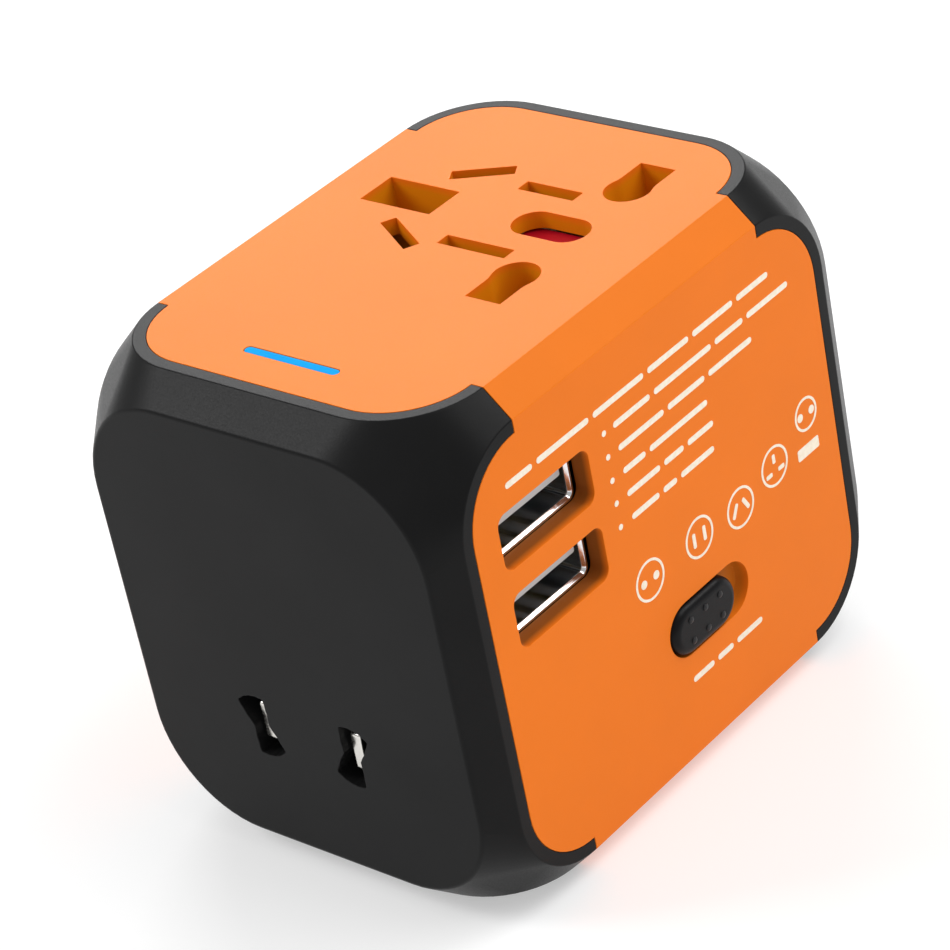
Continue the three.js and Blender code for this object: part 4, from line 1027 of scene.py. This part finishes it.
# ---- light strip and shutter
def make_light():
    """The strip, and the foot that carries the light up to it from the LED."""
    strip = as_object(prism(light_outline(0.0), "Z", HEIGHT - LIGHT_DEPTH, HEIGHT - LIGHT_SET_IN))
    foot_start = node_box("indicator_led")[0].x - LIGHT_FOOT_LAP
    bottom = node_box("light_pipe")[0].z
    weld(strip, box(foot_start, LIGHT_LENGTH / 2, LIGHT_Y - LIGHT_FOOT_HALF, LIGHT_Y + LIGHT_FOOT_HALF,
                    bottom, HEIGHT - LIGHT_DEPTH + SINK))
    piece("light_guide", strip, LIGHT, "casing", ["light_pipe"], bevel=0.12)


RAMP_DROP = 1.6
RAMP_HALF = 3.6
SHUTTER_GAP = 0.3       # under the collars of the live holes
SHUTTER_LAP = 0.8       # past each side of a live slot
SHUTTER_PAD_LAP = (0.4, 0.3)


def make_shutter():
    """A plate with a ramp under each live hole, and a pad that shows through the oval hole."""
    low, high = node_box("safety_shutter")
    middle_y = (low.y + high.y) / 2
    plate_top = HEIGHT - COLLAR_DEPTH - SHUTTER_GAP
    half = LIVE_SLOT_WIDTH / 2 + SHUTTER_LAP
    x = SOCKET_X
    body = as_object(box(x - half, x + half, low.y, high.y, low.z, plate_top))
    pad_u, pad_v = (size / 2 + lap for size, lap in zip(OVAL_HOLE, SHUTTER_PAD_LAP))
    pad = rounded(pad_u, pad_v, 0.8, 5)
    weld(body, prism(moved(pad, x + OVAL_OFFSET, middle_y), "Z", low.z, high.z))
    for side in (-1, 1):
        middle = middle_y + side * (ROUND_PITCH / 2 + LIVE_SLOT_END) / 2
        left, right = x - half - PAST, x + half + PAST
        wedge = [(left, plate_top + PAST), (right, plate_top + PAST), (right, plate_top - RAMP_DROP)]
        carve(body, prism(wedge, "Y", middle - RAMP_HALF, middle + RAMP_HALF))
    piece("shutter_moulding", body, RED, "shutter", ["safety_shutter"], bevel=0.2, segments=3)


make_light()
make_shutter()


# ---- pins, blades and screws
DOME_STEPS = 8
NOSE_STEPS = 5
BLADE_CORNER = (1.3, 1.0)       # cut from the corners of a blade's tip, along and across it
NOSE = (1.5, 1.1)               # rounding of a long pin's nose, along and across it
BARE_END = 8.2                  # the stretch of a long pin beyond its jacket
JACKET = 0.33
GROOVE = 0.35
ROUND_ROOT_RADIUS = 1.6
HUB_RADIUS = 4.0
HUB_THICKNESS = 1.2
HUB_STEM_RADIUS = 1.6
HUB_CHAMFER = 0.2
BLADE_LAP = 0.4                 # of the blade's root into its hub


def make_round_pin(name, x):
    low, high = node_box(name)
    r = ROUND_PIN_RADIUS
    dome = r * 0.75
    tip = [(r, high.y - dome)]
    for k in range(1, DOME_STEPS + 1):
        angle = 0.5 * pi * k / DOME_STEPS
        tip.append((r * cos(angle), high.y - dome + dome * sin(angle)))
    neck = low.y + PIN_ROOT
    root = ROUND_ROOT_RADIUS
    profile = [(0.0, low.y), (1.4, low.y), (root, low.y + 0.2), (root, neck), (r, neck)] + tip
    profile[-1] = (0.0, high.y)
    pin = shifted(turned(profile, "Y"), x, 0, PLUG_Z)
    piece(name + "_turned", pin, NICKEL, "round_pin_set", [name], sharp=40.0)


def make_flat_blade(name, side):
    low, high = node_box(name)
    hub_front = -HALF_D + CAP_WALL + PIN_CLEARANCE + BLADE_REACH
    thick, width = BLADE_SECTION
    half = width / 2
    run, rise = BLADE_CORNER
    outline = [(hub_front + BLADE_LAP, -half), (hub_front + BLADE_LAP, half), (low.y + run, half),
               (low.y, half - rise), (low.y, -half + rise), (low.y + run, -half)]
    blade = as_object(prism(moved(outline, 0, PLUG_Z), "X", -thick / 2, thick / 2))
    hub_back = hub_front + HUB_THICKNESS
    hub = turned([(0, hub_front), (HUB_RADIUS - HUB_CHAMFER, hub_front),
                  (HUB_RADIUS, hub_front + HUB_CHAMFER), (HUB_RADIUS, hub_back),
                  (HUB_STEM_RADIUS, hub_back), (HUB_STEM_RADIUS, high.y), (0, high.y)], "Y", 40)
    weld(blade, shifted(hub, 0, 0, PLUG_Z))
    blade.data.transform(Matrix.Translation((side * BLADE_X, 0, 0)))
    piece(name + "_stamped", blade, NICKEL, name + "_turn", [name], bevel=0.22, segments=3)


def make_long_pin(name, x, z, section, material, jacketed):
    """A rectangular pin with a rounded nose; a jacketed one has a groove for its insulating jacket."""
    low, high = node_box(name)
    start = low.y + PIN_ROOT

    def outline(grow, radius=LONG_PIN_RADIUS):
        return moved(rounded(section[0] / 2 + grow, section[1] / 2 + grow, radius, 5), x, z)

    rings = [(outline(0), start)]
    for k in range(NOSE_STEPS + 1):
        angle = 0.5 * pi * k / NOSE_STEPS
        rings.append((outline(-NOSE[1] * (1 - cos(angle))), high.y - NOSE[0] + NOSE[0] * sin(angle)))
    pin = as_object(loft("Y", *rings))
    root = turned([(0, low.y), (PIN_ROOT_RADIUS, low.y), (PIN_ROOT_RADIUS, start + 0.5), (0, start + 0.5)],
                  "Y", 32)
    weld(pin, shifted(root, x, 0, z))
    if jacketed:
        end = high.y - BARE_END
        groove = carve(as_object(prism(outline(1, 0.5), "Y", start - 1, end)),
                       prism(outline(-GROOVE, 0.3), "Y", start - 2, end + 1))
        bm = bmesh.new()
        bm.from_mesh(groove.data)
        bpy.data.objects.remove(groove)
        carve(pin, bm)
        jacket = carve(as_object(prism(outline(0), "Y", start, end - 0.03)),
                       prism(outline(-JACKET, 0.3), "Y", start - 1, end + 1))
        piece(name + "_insulating_jacket", jacket, INNER, "long_pin_set", bevel=0.05)
    piece(name + "_milled", pin, material, "long_pin_set", [name], bevel=0.05, sharp=40.0)


def make_screw(index, x, z):
    low, high = node_box(f"cap_screw_{index}")
    seat = high.y - 1.4
    turns, pitch = 10, 1.2
    profile = [(0.0, low.y), (0.4, low.y + 0.2)]
    for k in range(turns):
        y = low.y + 1.5 + k * pitch
        core = min(0.85, 0.5 + 0.2 * k)
        profile += [(core, y), (min(1.1, core + 0.3), y + 0.35), (core, y + 0.7)]
    profile += [(0.85, seat), (1.9, seat), (2.0, seat + 0.15), (2.0, seat + 0.7), (1.8, seat + 1.1),
                (1.3, seat + 1.33), (0.0, seat + 1.4)]
    screw = as_object(shifted(turned(profile, "Y", 32), x, 0, z))
    arms = [prism(moved(rectangle(-0.22, 0.22, 0.0, 1.15), x, z, 2 * pi * k / 3), "Y", seat + 0.5, seat + 2)
            for k in range(3)]
    carve(screw, *arms)
    piece(f"cap_screw_{index}_threaded", screw, SCREW, "casing", [f"cap_screw_{index}"],
          sharp=35.0)


for pin_name, pin_side in (("round_pin_left", -1), ("round_pin_right", 1)):
    make_round_pin(pin_name, pin_side * ROUND_PIN_X)
for blade_name, blade_side in (("flat_blade_left", -1), ("flat_blade_right", 1)):
    make_flat_blade(blade_name, blade_side)
make_long_pin("long_pin_left", -LONG_PIN_X, LONG_PIN_Z, LONG_PIN_SECTION, BRASS, True)
make_long_pin("long_pin_right", LONG_PIN_X, LONG_PIN_Z, LONG_PIN_SECTION, BRASS, True)
make_long_pin("long_pin_earth", 0, LONG_PIN_Z + LONG_EARTH_RISE, LONG_EARTH_SECTION, INNER,
              False)
for screw_number, place_xz in enumerate(sorted(SCREW_PLACES, key=lambda place: place[1]), 1):
    make_screw(screw_number, *place_xz)


# ---- return springs
WIRE_RADIUS = 0.17
COIL_TURNS = 6


def coil(low, high, axis, wire, turns, sides=8, steps=14):
    """A round helical spring that fills a box, along X or Y."""
    along, across = (0, 1) if axis == "X" else (1, 0)
    middle = [(low[k] + high[k]) / 2 for k in range(3)]
    radius = min(high[k] - low[k] for k in (across, 2)) / 2 - wire
    start, end = low[along] + wire, high[along] - wire
    count = turns * steps
    bm = bmesh.new()
    rings = []
    for k in range(count + 1):
        share = k / count
        angle = 2 * pi * turns * share
        ring = []
        for j in range(sides):
            turn = 2 * pi * j / sides
            r = radius + wire * cos(turn)
            point = [0.0, 0.0, middle[2] + r * sin(angle)]
            point[along] = start + (end - start) * share + wire * sin(turn)
            point[across] = middle[across] + r * cos(angle)
            ring.append(bm.verts.new(point))
        rings.append(ring)
    return skin(bm, rings)


def make_return_spring(name, axis, way):
    """A coil between the casing and a sliding piece, given its own copy of its mesh."""
    low, high = node_box(name)
    wire = coil(low, high, axis, WIRE_RADIUS, COIL_TURNS)
    spring = piece(name + "_coil", wire, STEEL, "casing", [name], sharp=60.0)
    anchor = [(low[k] + high[k]) / 2 * MM for k in range(3)]
    along, direction = (0, (1.0, 0.0, 0.0)) if axis == "X" else (1, (0.0, 1.0, 0.0))
    anchor[along] = (high if way > 0 else low)[along] * MM
    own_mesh(spring)


for slider in SLIDERS:
    make_return_spring(slider[0] + "_spring", "Y", slider[1] * slider[3])
make_return_spring("shutter_spring", "X", -1)


# ---- generic print on the sides
INK_THICKNESS = 0.03
INK_SINK = 0.005
STROKE = 0.3
LINE_HEIGHT = 0.7
WORD_GAP = 0.75
ICON_RADIUS = 2.4


def bar(u0, u1, v, height):
    return rounded((u1 - u0) / 2, height / 2, height / 2, 5, ((u0 + u1) / 2, v))


def printed(name, side, shapes):
    """Flat shapes printed on a side face: each is an outline, or an outline and the hole in it."""
    bm = bmesh.new()
    for shape in shapes:
        levels = []
        for points in shape if isinstance(shape, tuple) else (shape,):
            levels.append([[bm.verts.new((x, u, v)) for u, v in points]
                           for x in (HALF_W - INK_SINK, HALF_W + INK_THICKNESS)])
        for low, high in levels:
            stitch(bm, low, high)
        if len(levels) == 1:
            bm.faces.new(levels[0][0])
            bm.faces.new(levels[0][1])
        else:
            for outer, inner in zip(*levels):
                stitch(bm, outer, inner)
    bmesh.ops.recalc_face_normals(bm, faces=bm.faces)
    if side < 0:
        shifted(bm, turn=pi)
    piece(name, bm, INK, "casing")


def text_line(start, end, v, words):
    """A stand-in for a line of print: short rounded dashes whose lengths follow a word rhythm."""
    total = sum(words)
    room = end - start - WORD_GAP * (len(words) - 1)
    found, at = [], start
    for word in words:
        length = room * word / total
        found.append(bar(at, at + length, v, LINE_HEIGHT))
        at += length + WORD_GAP
    return found


def plug_icon(u, v, kind, radius=ICON_RADIUS):
    """A socket-face pictogram: a ring with the openings of one plug type."""
    shapes = [(circle(radius, 48, (u, v)), circle(radius - STROKE, 48, (u, v)))]
    if kind == "round":
        shapes += [circle(0.5, 16, (u + s * 1.05, v)) for s in (-1, 1)]
    if kind == "blade":
        shapes += [rounded(0.26, 0.9, 0.2, 3, (u + s * 0.9, v)) for s in (-1, 1)]
    if kind == "slant":
        shapes += [moved(rounded(0.26, 0.9, 0.2, 3), u + s * 0.95, v, s * SLANT_ANGLE) for s in (-1, 1)]
    if kind == "long":
        shapes += [rounded(0.55, 0.26, 0.15, 3, (u + s * 1.1, v - 0.75)) for s in (-1, 1)]
        shapes.append(rounded(0.26, 0.55, 0.15, 3, (u, v + 0.85)))
    return shapes


def make_print():
    # start and end along the casing, height, and the words' lengths
    lines = [
        (-23.2, 21.2, 49.5, (3, 6, 6, 5, 5, 4)),
        (-6.4, 24.2, 46.75, (5, 8, 4, 6)),
        (-6.2, 17.0, 43.95, (6, 5, 6)),
        (-6.1, 8.4, 41.15, (3, 8)),
        (-6.1, 8.8, 38.4, (5, 3, 4)),
        (-6.0, 8.3, 35.55, (4, 2, 5)),
    ]
    shapes = []
    for number, (start, end, v, words) in enumerate(lines):
        shapes += text_line(start, end, v, words)
        if number:
            shapes.append(circle(0.34, 16, (-7.95, v)))
    printed("side_print_lines", 1, shapes)
    icons = []
    row = ((-5.0, 27.2, "round"), (3.7, 27.2, "blade"), (11.0, 26.5, "slant"), (17.6, 27.8, "long"))
    for u, v, kind in row:
        icons += plug_icon(u, v, kind)
    icons += plug_icon(24.1, 30.6, "round", 2.0)
    icons.append(rounded(1.95, 0.7, 0.2, 3, (23.7, 26.4)))
    printed("side_print_icons", 1, icons)
    printed("right_slider_print", 1, text_line(-1.0, 11.6, 11.8, (4, 3, 5)))
    printed("flat_blade_slider_print", -1, plug_icon(10.5, 10.6, "blade"))
    printed("long_pin_slider_print", -1, plug_icon(-10.5, 10.6, "long"))


make_print()


# ---- carried-over CAD nodes
FINISHES = (
    (IVORY, ("socket_block", "indicator_led", "fuse_base")),
    (CONTACT, ("line_contact", "neutral_contact", "fuse_clip_front", "fuse_clip_rear")),
    (INNER, ("inner_chassis", "flat_blade_carriage", "round_pin_carriage", "long_pin_carriage")),
    (STEEL, ("flat_blade_spring", "round_pin_spring", "long_pin_spring", "round_pin_guide_rod")),
    (CAN, ("input_capacitor", "output_capacitor")),
    (BOARD, ("charger_board",)), (TAPE, ("transformer",)), (CERAMIC, ("fuse",)),
)
for node_finish, node_names in FINISHES:
    for node_name in node_names:
        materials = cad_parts[node_name].data.materials
        materials.clear()
        materials.append(node_finish)
